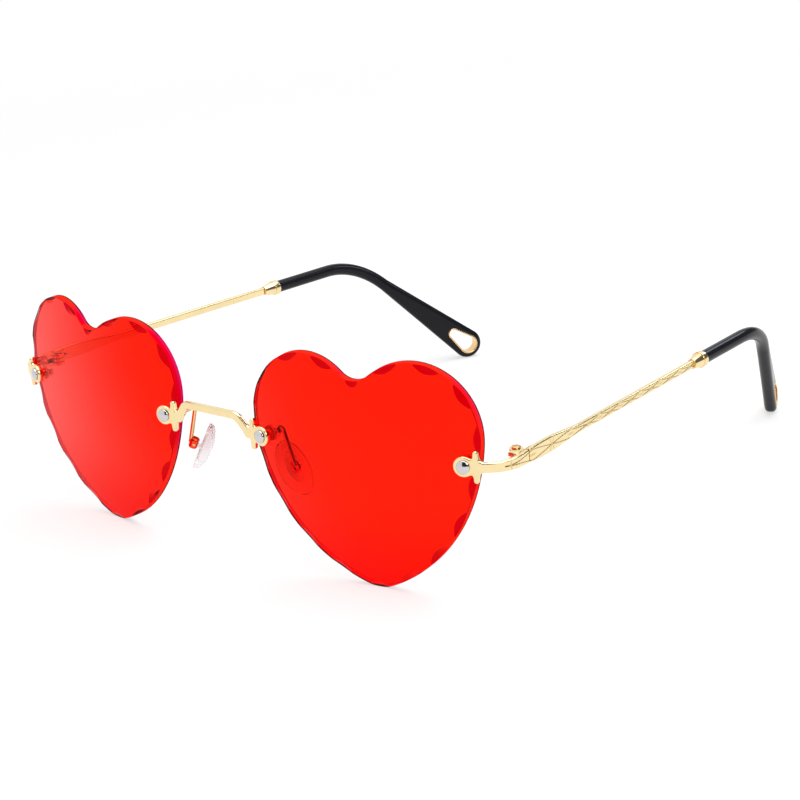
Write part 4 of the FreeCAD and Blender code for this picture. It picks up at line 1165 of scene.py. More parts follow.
def bridge_mesh(own):
    """A raised bar between two diagonal stems, with a lug and prongs at each lens."""
    fitting = own.fitting
    seat, back = screw_seat(own.lens, "bridge_sleeve_left")
    along = -left_of(back)
    half_bar = fitting.bar_length / 2
    bend = seat - along * fitting.bridge_stem
    corner = Vector((half_bar, bend.y - fitting.bow, 0.0))
    end = seat + along * fitting.lug
    bend.z = end.z = 0.0
    straight = half_bar - fitting.bar_corner
    left = softened([Vector((0.0, corner.y, 0.0)), Vector((straight, corner.y, 0.0)), corner, bend,
                     bend + along * fitting.bar_corner, end])
    path = [Vector((-point.x, point.y, 0.0)) for point in reversed(left[1:])] + left
    reach = sum((second - first).length for first, second in zip(left, left[1:]))
    screw = reach - fitting.lug
    bend_at = screw - fitting.bridge_stem
    slope = math.atan2(fitting.rise, bend_at - half_bar)
    hub = (half_bar - fitting.bar_corner * math.tan(slope / 2), fitting.rise - fitting.bar_corner)
    turned_to = (hub[0] + fitting.bar_corner * math.sin(slope), hub[1] + fitting.bar_corner * math.cos(slope))
    half_height = fitting.bar_height / 2

    def distance(x, z):
        side = np.abs(x - reach)
        solid = lug_distance(fitting, side - screw, z, -1)
        stem = capsule(side, z, (screw - fitting.prong_offset, 0.0), (bend_at, 0.0), fitting.strip / 2)
        rise = capsule(side, z, (bend_at, 0.0), turned_to, half_height)
        bar = capsule(side, z, (hub[0], fitting.rise), (0.0, fitting.rise), half_height)
        turn = np.clip(np.arctan2(side - hub[0], z - hub[1]), 0.0, slope)
        elbow = np.hypot(side - hub[0] - fitting.bar_corner * np.sin(turn),
                         z - hub[1] - fitting.bar_corner * np.cos(turn)) - half_height
        solid = joined(joined(solid, stem, fitting.rounding), rise, fitting.fillet)
        solid = np.minimum(solid, np.minimum(bar, elbow))
        return np.maximum(solid, fitting.screw / 2 - np.hypot(side - screw, z))
    tall = fitting.prong_span
    mesh = sheet(distance, (0.0, -tall), (2 * reach, tall), fitting.cell, fitting.sheet, fitting.rounding,
                 along_path(path, seat.z))
    return smooth(painted(mesh, material("polished_gold")))


def temple_half_height(temple, station):
    """Half the height of the temple, from the seam over the swell to the slim run."""
    rise = np.clip(station / temple.swell_at, 0.0, 1.0)
    fall = np.clip((station - temple.swell_at) / (temple.slim_at - temple.swell_at), 0.0, 1.0)
    swell = temple.seam_height + (temple.swell_height - temple.seam_height) * rise * (2.0 - rise)
    return (swell + (temple.slim_height - swell) * fall * fall * (3.0 - 2.0 * fall)) / 2


def crossings(temple):
    """Where the engraved lines cross, measured from the seam: two wide diamonds and then even ones."""
    places = [-temple.crossing_first]
    for _ in range(2):
        places.append(places[-1] + temple.crossing_wide)
    while places[-1] < temple.strip_length:
        places.append(places[-1] + temple.crossing_pitch)
    return np.array(places)


def engraved(mesh, own, offset, half_height):
    """Cuts the ornament into the front face; the stations are counted from the seam."""
    temple = own.temple
    count = len(mesh.vertices)
    values = {}
    for name in ("station", "across", "front"):
        values[name] = np.zeros(count, np.float32)
        mesh.attributes[name].data.foreach_get("value", values[name])
    station = values["station"] + offset
    half = half_height(station)
    edge = own.fitting.rounding
    border = np.clip((half - np.abs(values["across"]) - 0.4 * edge) / edge, 0.0, 1.0)
    places = crossings(temple)
    numbers = np.arange(len(places))
    start = station > places[0] - temple.stroke_reach
    fields = {"phase": np.interp(station, places, numbers),
              "pitch": np.interp(station, (places[1:] + places[:-1]) / 2, np.diff(places)),
              "half_height": half, "engraved": values["front"] * border * start}
    for name, array in fields.items():
        store(mesh, name, array)
    result = grown(mesh, "Engraving", {
        "Groove Depth": temple.groove_depth, "Groove Width": temple.groove_width,
        "Stroke Reach": temple.stroke_reach, "Leaf Length": temple.leaf_length,
        "Material": material("polished_gold")})
    return smooth(result)


def endpiece_mesh(own):
    """A lug with prongs, and a strip that bends round to the hinge and grows to the temple's height."""
    fitting, temple = own.fitting, own.temple
    seat, back = screw_seat(own.lens, "endpiece_sleeve_left")
    along = -left_of(back)
    radius = fitting.endpiece_bend - fitting.sheet
    bend = seat + along * fitting.endpiece_stem
    centre = bend + back * radius
    first = math.atan2(-back.y, -back.x)
    sweep = temple.toe_in - first
    end = centre + horizontal(temple.toe_in) * radius
    heading = horizontal(temple.toe_in + math.pi / 2)
    steps = 120
    path = line(seat - along * fitting.lug, bend)
    path += [centre + horizontal(first + sweep * number / steps) * radius for number in range(steps)]
    path += line(end, end + heading * fitting.endpiece_tail) + [end + heading * fitting.endpiece_tail]
    screw = fitting.lug
    bend_at = screw + fitting.endpiece_stem
    last = bend_at + radius * sweep + fitting.endpiece_tail

    def half_height(station):
        share = np.clip((station - bend_at) / (last - bend_at), 0.0, 1.0)
        return (fitting.strip + (temple.seam_height - fitting.strip) * share ** 1.5) / 2

    def distance(x, z):
        solid = lug_distance(fitting, x - screw, z, 1)
        strip = np.maximum(np.abs(z) - half_height(x), screw - x)
        solid = np.maximum(joined(solid, strip, fitting.fillet), x - last)
        return np.maximum(solid, fitting.screw / 2 - np.hypot(x - screw, z))
    tall = fitting.prong_span
    mesh = sheet(distance, (0.0, -tall), (last + temple.cell, tall), temple.cell, fitting.sheet,
                 fitting.rounding, along_path(path, seat.z))
    return engraved(mesh, own, -last, lambda station: half_height(station + last))


def temple_mesh(own):
    """A straight strip that swells behind the hinge and then runs slim to the ferrule."""
    fitting, temple = own.fitting, own.temple
    start, outward, heading = seam(temple)
    path_start = start - outward * fitting.sheet
    path = [path_start, path_start + heading * temple.strip_length]

    def distance(x, z):
        edge = np.abs(z) - temple_half_height(temple, x)
        return np.maximum(np.maximum(edge, temple.seam_gap - x), x - temple.strip_length)
    tall = temple.swell_height
    mesh = sheet(distance, (0.0, -tall), (temple.strip_length + temple.cell, tall), temple.cell,
                 fitting.sheet, fitting.rounding, along_path(path, start.z))
    return engraved(mesh, own, 0.0, lambda station: temple_half_height(temple, station))


# Turned and swept pieces

def ferrule_mesh(own):
    """A bell that flares from the temple to a ring round the tip's tube."""
    temple, tip = own.temple, own.tip
    start, outward, heading = seam(temple)
    neck, ring = temple.neck / 2, temple.ring / 2
    bore = tip.diameter / 2 + SEAT
    ring_from = temple.ferrule - temple.ring_length
    shoulder = ring - 0.2 * MM
    lip_rounding = 0.25 * MM
    flare_power = 0.85
    flare = [(neck + (shoulder - neck) * share ** flare_power, ring_from * share)
             for share in np.linspace(0.0, 1.0, 12)]
    steps = 5
    lip = rounded([(shoulder, ring_from), (ring, ring_from), (ring, temple.ferrule), (bore, temple.ferrule)],
                  lip_rounding, steps)[steps + 1:3 * (steps + 1)]
    floor = temple.ferrule - tip.socket
    mesh = lathe([(0.0, 0.0)] + flare + lip + [(bore, temple.ferrule), (bore, floor), (0.0, floor)])
    axis = start - outward * own.fitting.sheet / 2 + heading * (temple.strip_length + SEAT)
    mesh.transform(basis(UP, outward, heading, axis))
    return smooth(painted(welded(mesh), material("polished_gold")))


def tip_frame(own):
    """The knee, the direction of the tip, its two sides and its end."""
    temple, tip = own.temple, own.tip
    start, outward, heading = seam(temple)
    knee = start - outward * own.fitting.sheet / 2 + heading * tip.to_knee
    level = horizontal(temple.toe_in + tip.toe_in + math.pi / 2)
    down = level * math.cos(tip.drop) - UP * math.sin(tip.drop)
    mount = next(entry for entry in frame["record"]["mounts"] if entry["name"] == "cord_eyelet_left")
    side = UP.cross(down).normalized()
    return knee, heading, down, side, down.cross(side), Vector(mount["pos_m"])


def round_ring(radius, parts):
    """A circle of points, with as many parts to an eighth of it."""
    count = 8 * parts
    turns = [2 * math.pi * number / count for number in range(count)]
    return [(radius * math.cos(turn), radius * math.sin(turn)) for turn in turns]


def paddle_ring(tip, parts):
    """A rounded rectangle whose points match those of a round ring."""
    x = tip.paddle_thickness / 2
    z = tip.paddle_width / 2
    corner = tip.paddle_corner
    points = []
    for number in range(8 * parts):
        eighth = (number + parts / 2) % (8 * parts) / parts
        sector = int(eighth)
        share = eighth - sector
        if sector % 2:
            turn = math.radians(45 * (sector - 1) + 90 * share)
            hub_x = (x - corner) * (1 if sector in (1, 7) else -1)
            hub_z = (z - corner) * (1 if sector in (1, 3) else -1)
            points.append((hub_x + corner * math.cos(turn), hub_z + corner * math.sin(turn)))
        else:
            spot = 2 * share - 1
            flat = {0: (x, spot * (z - corner)), 2: (-spot * (x - corner), z),
                    4: (-x, -spot * (z - corner)), 6: (spot * (x - corner), -z)}
            points.append(flat[sector])
    return points


def tip_path(own):
    """Places along the tip: the centre, the way it runs, and how far the tube has become the paddle."""
    tip, temple = own.tip, own.temple
    knee, heading, down, _, _, end = tip_frame(own)
    start, outward, _ = seam(temple)
    begin = start - outward * own.fitting.sheet / 2
    begin += heading * (temple.strip_length + temple.ferrule - tip.socket + 2 * SEAT)
    half_turn = heading.angle(down) / 2
    trim = tip.bend * math.tan(half_turn)
    hub = knee + (down - heading).normalized() * (tip.bend / math.cos(half_turn))
    bend_from = knee - heading * trim
    spoke = bend_from - hub
    axis = heading.cross(down).normalized()
    places = [(begin.lerp(bend_from, share), heading, 0.0) for share in np.linspace(0.0, 1.0, 12)]
    for share in np.linspace(0.0, 1.0, 40)[1:]:
        swing = Matrix.Rotation(2 * half_turn * share, 3, axis)
        places.append((hub + swing @ spoke, swing @ heading, 0.0))
    paddle_from = knee + down * (trim + own.fitting.sheet)
    places += [(paddle_from.lerp(end, share), down, share) for share in np.linspace(0.0, 1.0, 40)]
    return places


def tip_mesh(own):
    """A tube that bends down and widens into a paddle with a round end and a window."""
    tip = own.tip
    _, _, down, side, up, end = tip_frame(own)
    parts = 8
    tube = round_ring(tip.diameter / 2, parts)
    broad = paddle_ring(tip, parts)
    count = len(tube)
    points = []
    places = tip_path(own)
    for centre, way, share in places:
        own_side = UP.cross(way).normalized()
        own_up = way.cross(own_side)
        for (ax, az), (bx, bz) in zip(tube, broad):
            points.append(centre + own_side * (ax + (bx - ax) * share) + own_up * (az + (bz - az) * share))
    faces = [tuple(range(count))]
    faces += [(a, d, c, b) for a, b, c, d in ring_quads(len(places), count)]
    base = len(points)
    half = broad[:count // 2 + 1]
    turns = np.linspace(0.0, math.pi, 33)
    for turn in turns:
        points += [end + side * x + (up * math.cos(turn) + down * math.sin(turn)) * z for x, z in half]
    wide = len(half)
    for row in range(len(turns) - 1):
        for number in range(wide - 1):
            corner = base + row * wide + number
            faces.append((corner, corner + 1, corner + wide + 1, corner + wide))
    mesh = to_mesh("tip", points, faces)
    window = teardrop(tip, tip.eyelet_big + SEAT, tip.eyelet_small + SEAT)
    mesh = cut(mesh, prism(window, tip.paddle_width, basis(down, -up, side, end)))
    return smooth(painted(mesh, material("black_gloss")), 35.0)


def teardrop(tip, big, small):
    """A closed line round two circles: the big one at the origin and the small one up the tip."""
    lean = math.asin((big - small) / tip.eyelet_length)
    wide = math.pi / 2 + lean
    points = [(big * math.cos(turn), big * math.sin(turn)) for turn in np.linspace(-wide, wide, 40)]
    points += [(small * math.cos(turn) - tip.eyelet_length, small * math.sin(turn))
               for turn in np.linspace(wide, 2 * math.pi - wide, 30)]
    return points


def rectangle(left, low, right, high):
    return [(left, low), (right, low), (right, high), (left, high)]


def prism(outline, half_depth, matrix):
    """A straight block with an outline, put in its place by a matrix."""
    count = len(outline)
    points = [(x, y, side * half_depth) for side in (-1, 1) for x, y in outline]
    faces = [tuple(reversed(range(count))), tuple(range(count, 2 * count))]
    faces += [(number, (number + 1) % count, (number + 1) % count + count, number + count)
              for number in range(count)]
    mesh = to_mesh("prism", points, faces)
    mesh.transform(matrix)
    return mesh


def edge_loop(points, closed):
    """A line of edges for a tree to follow."""
    count = len(points)
    edges = [(number, number + 1) for number in range(count - 1)]
    edges += [(count - 1, 0)] if closed else []
    mesh = bpy.data.meshes.new("route")
    mesh.from_pydata([tuple(point) for point in points], edges, [])
    return mesh


def eyelet_mesh(own):
    """The wall and the rolled beads of the eyelet in the paddle's window."""
    tip = own.tip
    _, _, down, side, up, end = tip_frame(own)
    half_wall = tip.eyelet_wall / 2
    route = [(x, y, 0.0) for x, y in teardrop(tip, tip.eyelet_big - half_wall, tip.eyelet_small - half_wall)]
    mesh = grown(edge_loop(route, True), "Rolled rim", {
        "Wall": tip.eyelet_wall, "Depth": tip.paddle_thickness, "Bead": tip.eyelet_proud,
        "Bead Height": tip.paddle_thickness / 2, "Material": material("rose_gold")})
    mesh.transform(basis(down, -up, side, end))
    return smooth(welded(mesh))


# Nose pads and their arms

def pad_frame(own):
    """The pad screw's place, and the pad's directions across, towards the nose and up."""
    rock = joint("left_pad_rock")
    across = Vector(rock["axis"]).normalized()
    up = Vector((-math.sin(own.pad.frontal), 0.0, math.cos(own.pad.frontal)))
    return Vector(rock["pos_m"]), across, up.cross(across).normalized(), up


def oval_distance(x, z, half_width, half_length):
    near = np.hypot(x / half_width, z / half_length)
    steep = np.hypot(x / half_width ** 2, z / half_length ** 2)
    return (near - 1.0) * near / np.maximum(steep, 1e-9)


def pad_mesh(own):
    """A crowned oval with a soft rim, flat at the back with a pocket for its insert."""
    pad = own.pad
    pivot, across, inwards, up = pad_frame(own)
    half_width, half_length = pad.width / 2, pad.length / 2
    crown_radius = (half_length ** 2 + pad.crown ** 2) / (2 * pad.crown)

    def distance(x, z):
        return oval_distance(x, z, half_width, half_length)

    def front(x, z, depth):
        sphere = np.sqrt(np.maximum(crown_radius ** 2 - x ** 2 - z ** 2, 0.0)) - crown_radius
        return np.maximum(pad.thickness + sphere - rounded_edge(depth, pad.rounding), pad.rounding / 2)

    def back(x, z, depth):
        pocket = oval_distance(x, z, pad.insert_width / 2 + SEAT, pad.insert_length / 2 + SEAT)
        recess = np.where(pocket < 0.0, pad.insert_thickness + SEAT, 0.0)
        return rounded_edge(depth, pad.rounding / 2) + recess
    cell = 0.13 * MM
    mesh = plate(distance, (-pad.width, -pad.length), (pad.width, pad.length), cell, front, back,
                 flat(across, inwards, up, pivot + inwards * pad.reach))
    return smooth(painted(mesh, material("pad_silicone")), 50.0)


def plate_mesh(own):
    """The plate behind the lens, with the tab that the wire is soldered to."""
    pad, fitting, lens = own.pad, own.fitting, own.lens
    seat, back = screw_seat(lens, "bridge_sleeve_left")
    along = -left_of(back)
    base = seat + back * (lens.thickness + fitting.washer_thickness + 2 * SEAT)
    tab = (-math.sin(pad.tab_lean) * pad.tab_reach, math.cos(pad.tab_lean) * pad.tab_reach)

    def distance(x, z):
        solid = joined(np.hypot(x, z) - pad.plate, capsule(x, z, (0.0, 0.0), tab, pad.tab), fitting.fillet)
        return np.maximum(solid, fitting.screw / 2 - np.hypot(x, z))
    reach = pad.tab_reach + pad.plate
    mesh = sheet(distance, (-reach, -reach), (reach, reach), fitting.cell, pad.plate_thickness,
                 fitting.rounding, flat(along, back, UP, base))
    tab_point = base + along * tab[0] + UP * tab[1] + back * pad.plate_thickness / 2
    return smooth(painted(mesh, material("polished_gold"))), tab_point, back


def box_mesh(own):
    """The small box that holds the pad: a rounded block with a slot for the pad's stud."""
    pad = own.pad
    pivot, across, inwards, up = pad_frame(own)
    half_width = pad.stud_gap + pad.box_wall
    back = -pad.box_floor - pad.box_wall
    rounding = 0.8 * half_width
    work = bmesh.new()
    bmesh.ops.create_cube(work, size=1.0)
    bmesh.ops.scale(work, vec=(2 * half_width, pad.box_front - back, pad.box_length), verts=work.verts)
    bmesh.ops.translate(work, vec=(0.0, (pad.box_front + back) / 2, 0.0), verts=work.verts)
    bmesh.ops.bevel(work, geom=work.edges, offset=rounding, segments=8, profile=0.5, affect="EDGES")
    mesh = bpy.data.meshes.new("box")
    work.to_mesh(mesh)
    work.free()
    slot = rectangle(-pad.stud_gap, -pad.box_floor, pad.stud_gap, 2 * pad.box_front)
    mesh = cut(mesh, prism(slot, pad.box_length, Matrix.Identity(4)))
    mesh.transform(basis(across, inwards, up, pivot))
    return smooth(painted(mesh, material("box_copper"))), pivot + inwards * (back + pad.box_wall / 2)


def finished_copy(node, rounding, finish, degrees=35.0):
    """A merged copy of a CAD node with its edges rounded."""
    mesh = frame["nodes"][node].data.copy()
    work = bmesh.new()
    work.from_mesh(mesh)
    bmesh.ops.remove_doubles(work, verts=work.verts, dist=0.001 * MM)
    bmesh.ops.dissolve_limit(work, angle_limit=math.radians(1.0), verts=work.verts, edges=work.edges)
    work.to_mesh(mesh)
    work.free()
    for name in [entry.name for entry in mesh.color_attributes]:
        mesh.color_attributes.remove(mesh.color_attributes[name])
    holder = link_object("work", mesh)
    bevel = holder.modifiers.new("Edges", "BEVEL")
    bevel.width = rounding
    bevel.segments = 2
    bevel.limit_method = "ANGLE"
    bevel.angle_limit = math.radians(40.0)
    bevel.use_clamp_overlap = True
    return smooth(painted(evaluated_mesh(holder), material(finish)), degrees)


# Operators

class LensOperator(bpy.types.Operator):
    """Grinds the two red heart lenses"""
    bl_idname = "sunglasses.lenses"
    bl_label = "Heart lenses"

    def execute(self, context):
        add_pair("red_lens", lens_mesh(settings()), "front", ["lens_{}"])
        return {"FINISHED"}


class BridgeOperator(bpy.types.Operator):
    """Bends the gold bridge between the lenses"""
    bl_idname = "sunglasses.bridge"
    bl_label = "Bridge"

    def execute(self, context):
        add_piece("gold_bridge", bridge_mesh(settings()), "front", ["bridge"])
        return {"FINISHED"}


class EndpieceOperator(bpy.types.Operator):
    """Bends the two gold endpieces round to the hinges"""
    bl_idname = "sunglasses.endpieces"
    bl_label = "Endpieces"

    def execute(self, context):
        add_pair("gold_endpiece", endpiece_mesh(settings()), "front", ["endpiece_{}"])
        return {"FINISHED"}


class FasteningOperator(bpy.types.Operator):
    """Sets the screws, sleeves, washers and nuts that hold the lenses"""
    bl_idname = "sunglasses.fastenings"
    bl_label = "Lens fastenings"

    def execute(self, context):
        own = settings()
        fitting, lens, pad = own.fitting, own.lens, own.pad
        washer_from = lens.thickness + SEAT
        washer_to = washer_from + fitting.washer_thickness
        plate_to = washer_to + SEAT + pad.plate_thickness
        bore = fitting.screw / 2 + SEAT
        nut_from = {"bridge": plate_to + SEAT, "endpiece": washer_to + SEAT}
        washer_rounding = 0.1 * MM
        sleeve = lathe(rectangle(bore, SEAT, lens.hole / 2 - SEAT, lens.thickness))
        washer = lathe(rounded(rectangle(bore, washer_from, fitting.washer / 2, washer_to), washer_rounding))
        both = ("bridge", "endpiece")
        self.fasten("lens_sleeves", sleeve, both, "sleeve", "clear_plastic", "clear_plastic")
        self.fasten("lens_washers", washer, both, "washer", "clear_plastic", "clear_plastic")
        for place in both:
            screw = self.screw_mesh(fitting, nut_from[place] + fitting.nut_height)
            self.fasten(place + "_screws", screw, (place,), "screw", "silver", "screw_steel")
            nut = self.nut_mesh(fitting, nut_from[place])
            self.fasten(place + "_nuts", nut, (place,), "nut", "gold", "polished_gold")
        return {"FINISHED"}

    def fasten(self, name, shape, places, kind, slot, finish):
        """Puts one shape on the screws at both sides."""
        points = []
        screws = []
        nodes = []
        for place in places:
            seat, back = screw_seat(settings().lens, place + "_sleeve_left")
            for side, sign in SIDES:
                points.append((sign * seat.x, seat.y, seat.z))
                screws += [sign * back.x, back.y, back.z]
                nodes.append("_".join((place, kind, side)))
        cloud = bpy.data.meshes.new(name)
        cloud.from_pydata(points, [], [])
        cloud.attributes.new("screw", "FLOAT_VECTOR", "POINT").data.foreach_set("vector", screws)
        model = link_object("fastening", smooth(shape))
        mesh = grown(cloud, "Fastenings", {"Fastening": model, "Material": material(finish)})
        bpy.data.objects.remove(model)
        add_piece(name, smooth(mesh), "front", nodes)

    def screw_mesh(self, fitting, end):
        """A screw with a domed head that stands on the lug."""
        seat = -fitting.sheet - SEAT
        radius = fitting.head / 2
        rim_height = 0.28 * MM
        rim = seat - rim_height
        crown = fitting.head_height - rim_height
        dome = (radius ** 2 + crown ** 2) / (2 * crown)
        top = seat - fitting.head_height
        arch = math.asin(radius / dome)
        cap = [(dome * math.sin(arch * share), top + dome - dome * math.cos(arch * share))
               for share in np.linspace(0.0, 0.96, 14)]
        edge = [(radius - 0.02 * MM, rim + 0.03 * MM), (radius, rim + 0.08 * MM), (radius, seat - 0.05 * MM),
                (radius - 0.05 * MM, seat)]
        shank = fitting.screw / 2
        chamfer = 0.1 * MM
        stem = [(shank, seat), (shank, end - chamfer), (shank - chamfer, end), (0.0, end)]
        return lathe(cap + edge + stem)

    def nut_mesh(self, fitting, start):
        """A hexagon nut with its edges rounded."""
        flat = fitting.nut / 2

        def distance(x, z):
            sides = [x * math.cos(turn) + z * math.sin(turn) - flat
                     for turn in np.radians(np.arange(30.0, 390.0, 60.0))]
            return np.maximum(np.max(sides, axis=0), fitting.screw / 2 + SEAT - np.hypot(x, z))

        def place(x, z, height):
            return np.stack([x, z, start + height], 1)
        reach = fitting.nut
        cell = 0.08 * MM
        return sheet(distance, (-reach, -reach), (reach, reach), cell, fitting.nut_height, fitting.rounding,
                     place)


class HingeOperator(bpy.types.Operator):
    """Rounds and plates the hinge halves and their slotted screws"""
    bl_idname = "sunglasses.hinges"
    bl_label = "Hinges"

    def execute(self, context):
        rounding = settings().fitting.hinge_rounding
        for part, body in (("hinge_front", "front"), ("hinge_rear", "{}_temple")):
            mesh = finished_copy(part + "_left", rounding, "polished_gold")
            add_pair("gold_" + part, mesh, body, [part + "_{}"])
        mesh = finished_copy("hinge_screw_left", rounding, "rose_gold")
        add_pair("slotted_hinge_screw", self.slotted(mesh), "front", ["hinge_screw_{}"])
        return {"FINISHED"}

    def slotted(self, mesh):
        """Cuts the driver's slot into the head."""
        low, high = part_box("hinge_screw_left")
        centre = (low + high) / 2
        half_width = 0.16 * MM
        depth = 0.22 * MM
        reach = 2 * MM
        turn = Matrix.Rotation(math.radians(25.0), 4, "Z")
        slot = prism(rectangle(-reach, -half_width, reach, half_width), depth,
                     Matrix.Translation((centre.x, centre.y, high.z)) @ turn)
        return smooth(cut(mesh, slot), 35.0)


class TempleOperator(bpy.types.Operator):
    """Engraves the two gold temples"""
    bl_idname = "sunglasses.temples"
    bl_label = "Engraved temples"

    def execute(self, context):
        add_pair("engraved_temple", temple_mesh(settings()), "{}_temple", ["temple_{}"])
        return {"FINISHED"}


class FerruleOperator(bpy.types.Operator):
    """Turns the two bell shaped ferrules"""
    bl_idname = "sunglasses.ferrules"
    bl_label = "Ferrules"

    def execute(self, context):
        add_pair("bell_ferrule", ferrule_mesh(settings()), "{}_temple", ["ferrule_{}"])
        return {"FINISHED"}


class TipOperator(bpy.types.Operator):
    """Bends the two black tips and widens them into paddles"""
    bl_idname = "sunglasses.tips"
    bl_label = "Black tips"

    def execute(self, context):
        add_pair("black_tip", tip_mesh(settings()), "{}_temple", ["temple_tip_{}"])
        return {"FINISHED"}


class EyeletOperator(bpy.types.Operator):
    """Rolls the teardrop eyelets into the paddles"""
    bl_idname = "sunglasses.eyelets"
    bl_label = "Eyelets"

    def execute(self, context):
        add_pair("eyelet_rim", eyelet_mesh(settings()), "{}_temple", ["tip_eyelet_{}"])
        return {"FINISHED"}


class PadArmOperator(bpy.types.Operator):
    """Bends the wires that carry the nose pads, with their plates and boxes"""
    bl_idname = "sunglasses.pad_arms"
    bl_label = "Pad arms"

    def execute(self, context):
        own = settings()
        pad = own.pad
        plate_part, tab, back = plate_mesh(own)
        box_part, box_point = box_mesh(own)
        corner = tab + back * (pad.plate_thickness / 2 + pad.wire_setback)
        wire = grown(edge_loop((tab, corner, box_point), False), "Bent wire", {
            "Radius": pad.wire / 2, "Bend": pad.wire_bend, "Material": material("rose_gold")})
        add_pair("pad_plate", plate_part, "front", ["pad_arm_{}"])
        add_pair("pad_wire", smooth(wire), "front", ["pad_arm_{}"])
        add_pair("pad_box", box_part, "front", ["pad_arm_{}"])
        screw = finished_copy("pad_screw_left", 0.05 * MM, "rose_gold")
        add_pair("pad_box_screw", screw, "front", ["pad_screw_{}"])
        return {"FINISHED"}


class NosePadOperator(bpy.types.Operator):
    """Moulds the clear nose pads with their inserts"""
    bl_idname = "sunglasses.nose_pads"
    bl_label = "Nose pads"

    def execute(self, context):
        own = settings()
        for piece in add_pair("clear_nose_pad", pad_mesh(own), "{}_nose_pad", ["nose_pad_{}"]):
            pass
        insert = finished_copy("pad_insert_left", 0.06 * MM, "clear_plastic")
        add_pair("pad_core", insert, "{}_nose_pad", ["pad_insert_{}"])
        return {"FINISHED"}


# name, place, what it points at, size, share of the key light, colour
LAMPS = (
    ("overhead", (0.1, 0.1, 0.9), (0.0, 0.0, 0.0), 1.1, 1.0, WHITE),
    ("side", (0.75, -0.35, 0.5), (0.05, 0.0, 0.03), 0.45, 0.25, WHITE),
    ("back", (0.06, 0.235, 0.18), (-0.06, 0.06, 0.045), 0.07, 0.008, (0.72, 0.82, 1.0)),
)
# how high on the walls of the studio, and how bright they are there
WALL_TONES = ((0.02, 1.0), (0.08, 0.1), (0.7, 0.12), (0.8, 1.0))


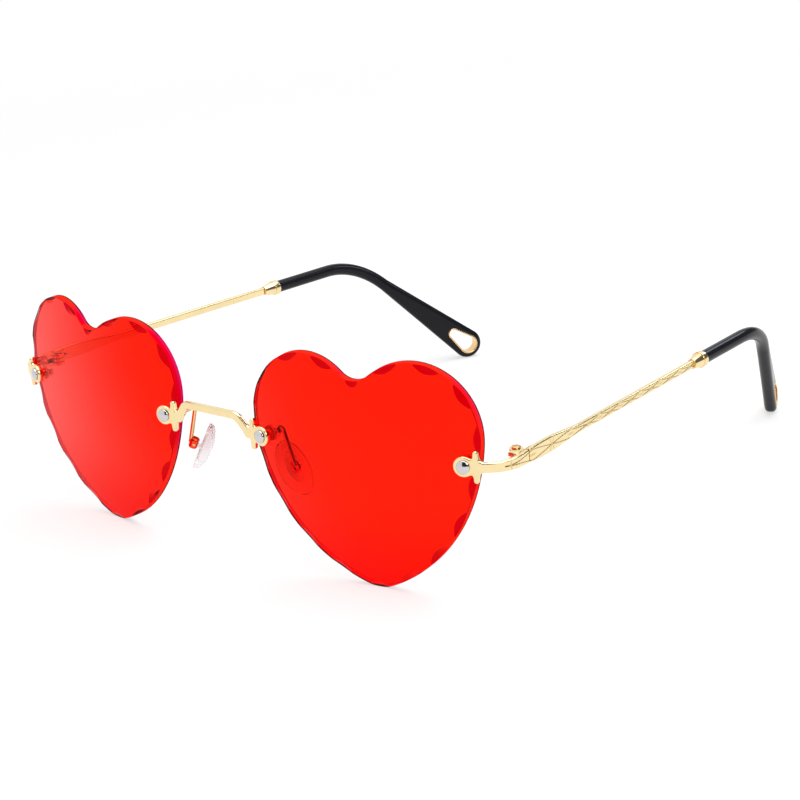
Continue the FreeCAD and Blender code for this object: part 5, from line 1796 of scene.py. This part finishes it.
class StageOperator(bpy.types.Operator):
    """Sets the white floor, the soft light and the camera"""
    bl_idname = "sunglasses.stage"
    bl_label = "Stage"

    def execute(self, context):
        stage = settings().stage
        self.floor(stage)
        self.surroundings(stage)
        for name, place, aim, size, share, tint in LAMPS:
            self.lamp(name, place, aim, size, stage.key * share, tint)
        self.camera(stage)
        context.scene.view_settings.view_transform = "Standard"
        return {"FINISHED"}

    def floor(self, stage):
        """A floor that shows its own white and keeps the shadows; far from the glasses it is white alone."""
        half = 3.0
        corners = [(x, y, 0.0) for x, y in rectangle(-half, -half, half, half)]
        mesh = to_mesh("floor", corners, [(0, 1, 2, 3)])
        white = bpy.data.materials.new("white_floor")
        white.use_nodes = True
        tree = white.node_tree
        tree.nodes.clear()
        lit = add_node(tree, "ShaderNodeBsdfDiffuse", Color=(0.9, 0.9, 0.9, 1.0))
        glow = add_node(tree, "ShaderNodeEmission", Strength=1.0)
        reach = tree.nodes.new("ShaderNodeVectorMath")
        reach.operation = "LENGTH"
        feed(tree, reach.inputs[0], tree.nodes.new("ShaderNodeTexCoord").outputs["Object"])
        far = add_node(tree, "ShaderNodeMapRange", Value=reach.outputs["Value"], From_Min=0.2, From_Max=0.6,
                       To_Min=stage.floor_glow)
        share = calculated(tree, "MULTIPLY", self.seen(tree), far.outputs[0])
        add_node(tree, "ShaderNodeOutputMaterial", Surface=mixed(tree, share, lit, glow).outputs[0])
        link_object("floor", painted(mesh, white))

    def seen(self, tree):
        """One for rays that show the white itself: from the camera, from metal and through glass."""
        path = tree.nodes.new("ShaderNodeLightPath").outputs
        clear = calculated(tree, "MAXIMUM", path["Is Camera Ray"], path["Is Transmission Ray"])
        return calculated(tree, "MAXIMUM", clear, path["Is Glossy Ray"])

    def surroundings(self, stage):
        """White all round; metal also sees the darker upper walls of the studio."""
        world = bpy.data.worlds.new("studio")
        bpy.context.scene.world = world
        world.use_nodes = True
        tree = world.node_tree
        tree.nodes.clear()
        ray = tree.nodes.new("ShaderNodeTexCoord").outputs["Generated"]
        ramp = add_node(tree, "ShaderNodeValToRGB", Fac=upright(tree, ray))
        stops = ramp.color_ramp.elements
        for stop, position in zip(stops, (0.0, 1.0)):
            stop.position = position
            stop.color = (*WHITE, 1.0)
        for position, tone in WALL_TONES:
            stops.new(position).color = (tone, tone, tone, 1.0)
        aside = ramped(tree, self.towards(tree, ray, horizontal(math.radians(55.0))), 0.45, 0.65)
        above = ramped(tree, self.towards(tree, ray, Vector((0.72, -0.6, 0.35))), 0.66, 0.74)
        patched = blended(tree, above, blended(tree, aside, WHITE, ramp.outputs[0]), (0.03, 0.03, 0.03))
        even = add_node(tree, "ShaderNodeBackground", Strength=stage.fill)
        white = add_node(tree, "ShaderNodeBackground", Color=(*WHITE, 1.0), Strength=1.0)
        walls = add_node(tree, "ShaderNodeBackground", Color=patched)
        path = tree.nodes.new("ShaderNodeLightPath").outputs
        shown = mixed(tree, path["Is Glossy Ray"], mixed(tree, self.seen(tree), even, white), walls)
        add_node(tree, "ShaderNodeOutputWorld", Surface=shown.outputs[0])

    def towards(self, tree, ray, direction):
        """How far a ray points in a direction."""
        dot = tree.nodes.new("ShaderNodeVectorMath")
        dot.operation = "DOT_PRODUCT"
        feed(tree, dot.inputs[0], ray)
        feed(tree, dot.inputs[1], direction.normalized())
        return dot.outputs["Value"]

    def lamp(self, name, place, aim, size, power, tint):
        data = bpy.data.lights.new(name, "AREA")
        data.color = tint
        data.shape = "DISK"
        data.size = size
        data.energy = power
        made = link_object(name, data)
        made.location = place
        made.rotation_mode = "QUATERNION"
        made.rotation_quaternion = (Vector(aim) - Vector(place)).to_track_quat("-Z", "Y")

    def camera(self, stage):
        data = bpy.data.cameras.new("camera")
        data.sensor_width = 36.0
        data.lens = stage.focal
        data.clip_start = 0.01
        made = link_object("camera", data)
        level = horizontal(stage.azimuth)
        back = -left_of(level) * math.cos(stage.elevation) + UP * math.sin(stage.elevation)
        upright_dir = back.cross(level)
        right = level * math.cos(stage.roll) + upright_dir * math.sin(stage.roll)
        up = upright_dir * math.cos(stage.roll) - level * math.sin(stage.roll)
        made.matrix_world = basis(right, up, back, Vector(stage.aim) + back * stage.distance)
        bpy.context.scene.camera = made


class SunglassesPanel(bpy.types.Panel):
    """Lists the pieces of the sunglasses"""
    bl_idname = "VIEW3D_PT_sunglasses"
    bl_label = "Sunglasses"
    bl_space_type = "VIEW_3D"
    bl_region_type = "UI"
    bl_category = "Sunglasses"

    def draw(self, context):
        for operator in OPERATORS:
            self.layout.operator(operator.bl_idname)


OPERATORS = (LensOperator, BridgeOperator, EndpieceOperator, FasteningOperator, HingeOperator, TempleOperator,
             FerruleOperator, TipOperator, EyeletOperator, PadArmOperator, NosePadOperator, StageOperator)
GROUPS = (LensSettings, FittingSettings, TempleSettings, TipSettings, PadSettings, StageSettings,
          SunglassesSettings)


def register():
    for group in GROUPS + OPERATORS + (SunglassesPanel,):
        bpy.utils.register_class(group)
    bpy.types.Scene.sunglasses = PointerProperty(type=SunglassesSettings)


def unregister():
    del bpy.types.Scene.sunglasses
    for group in reversed(GROUPS + OPERATORS + (SunglassesPanel,)):
        bpy.utils.unregister_class(group)


def main():
    register()
    for operator in OPERATORS:
        family, name = operator.bl_idname.split(".")
        getattr(getattr(bpy.ops, family), name)()


if __name__ == "__main__":
    main()
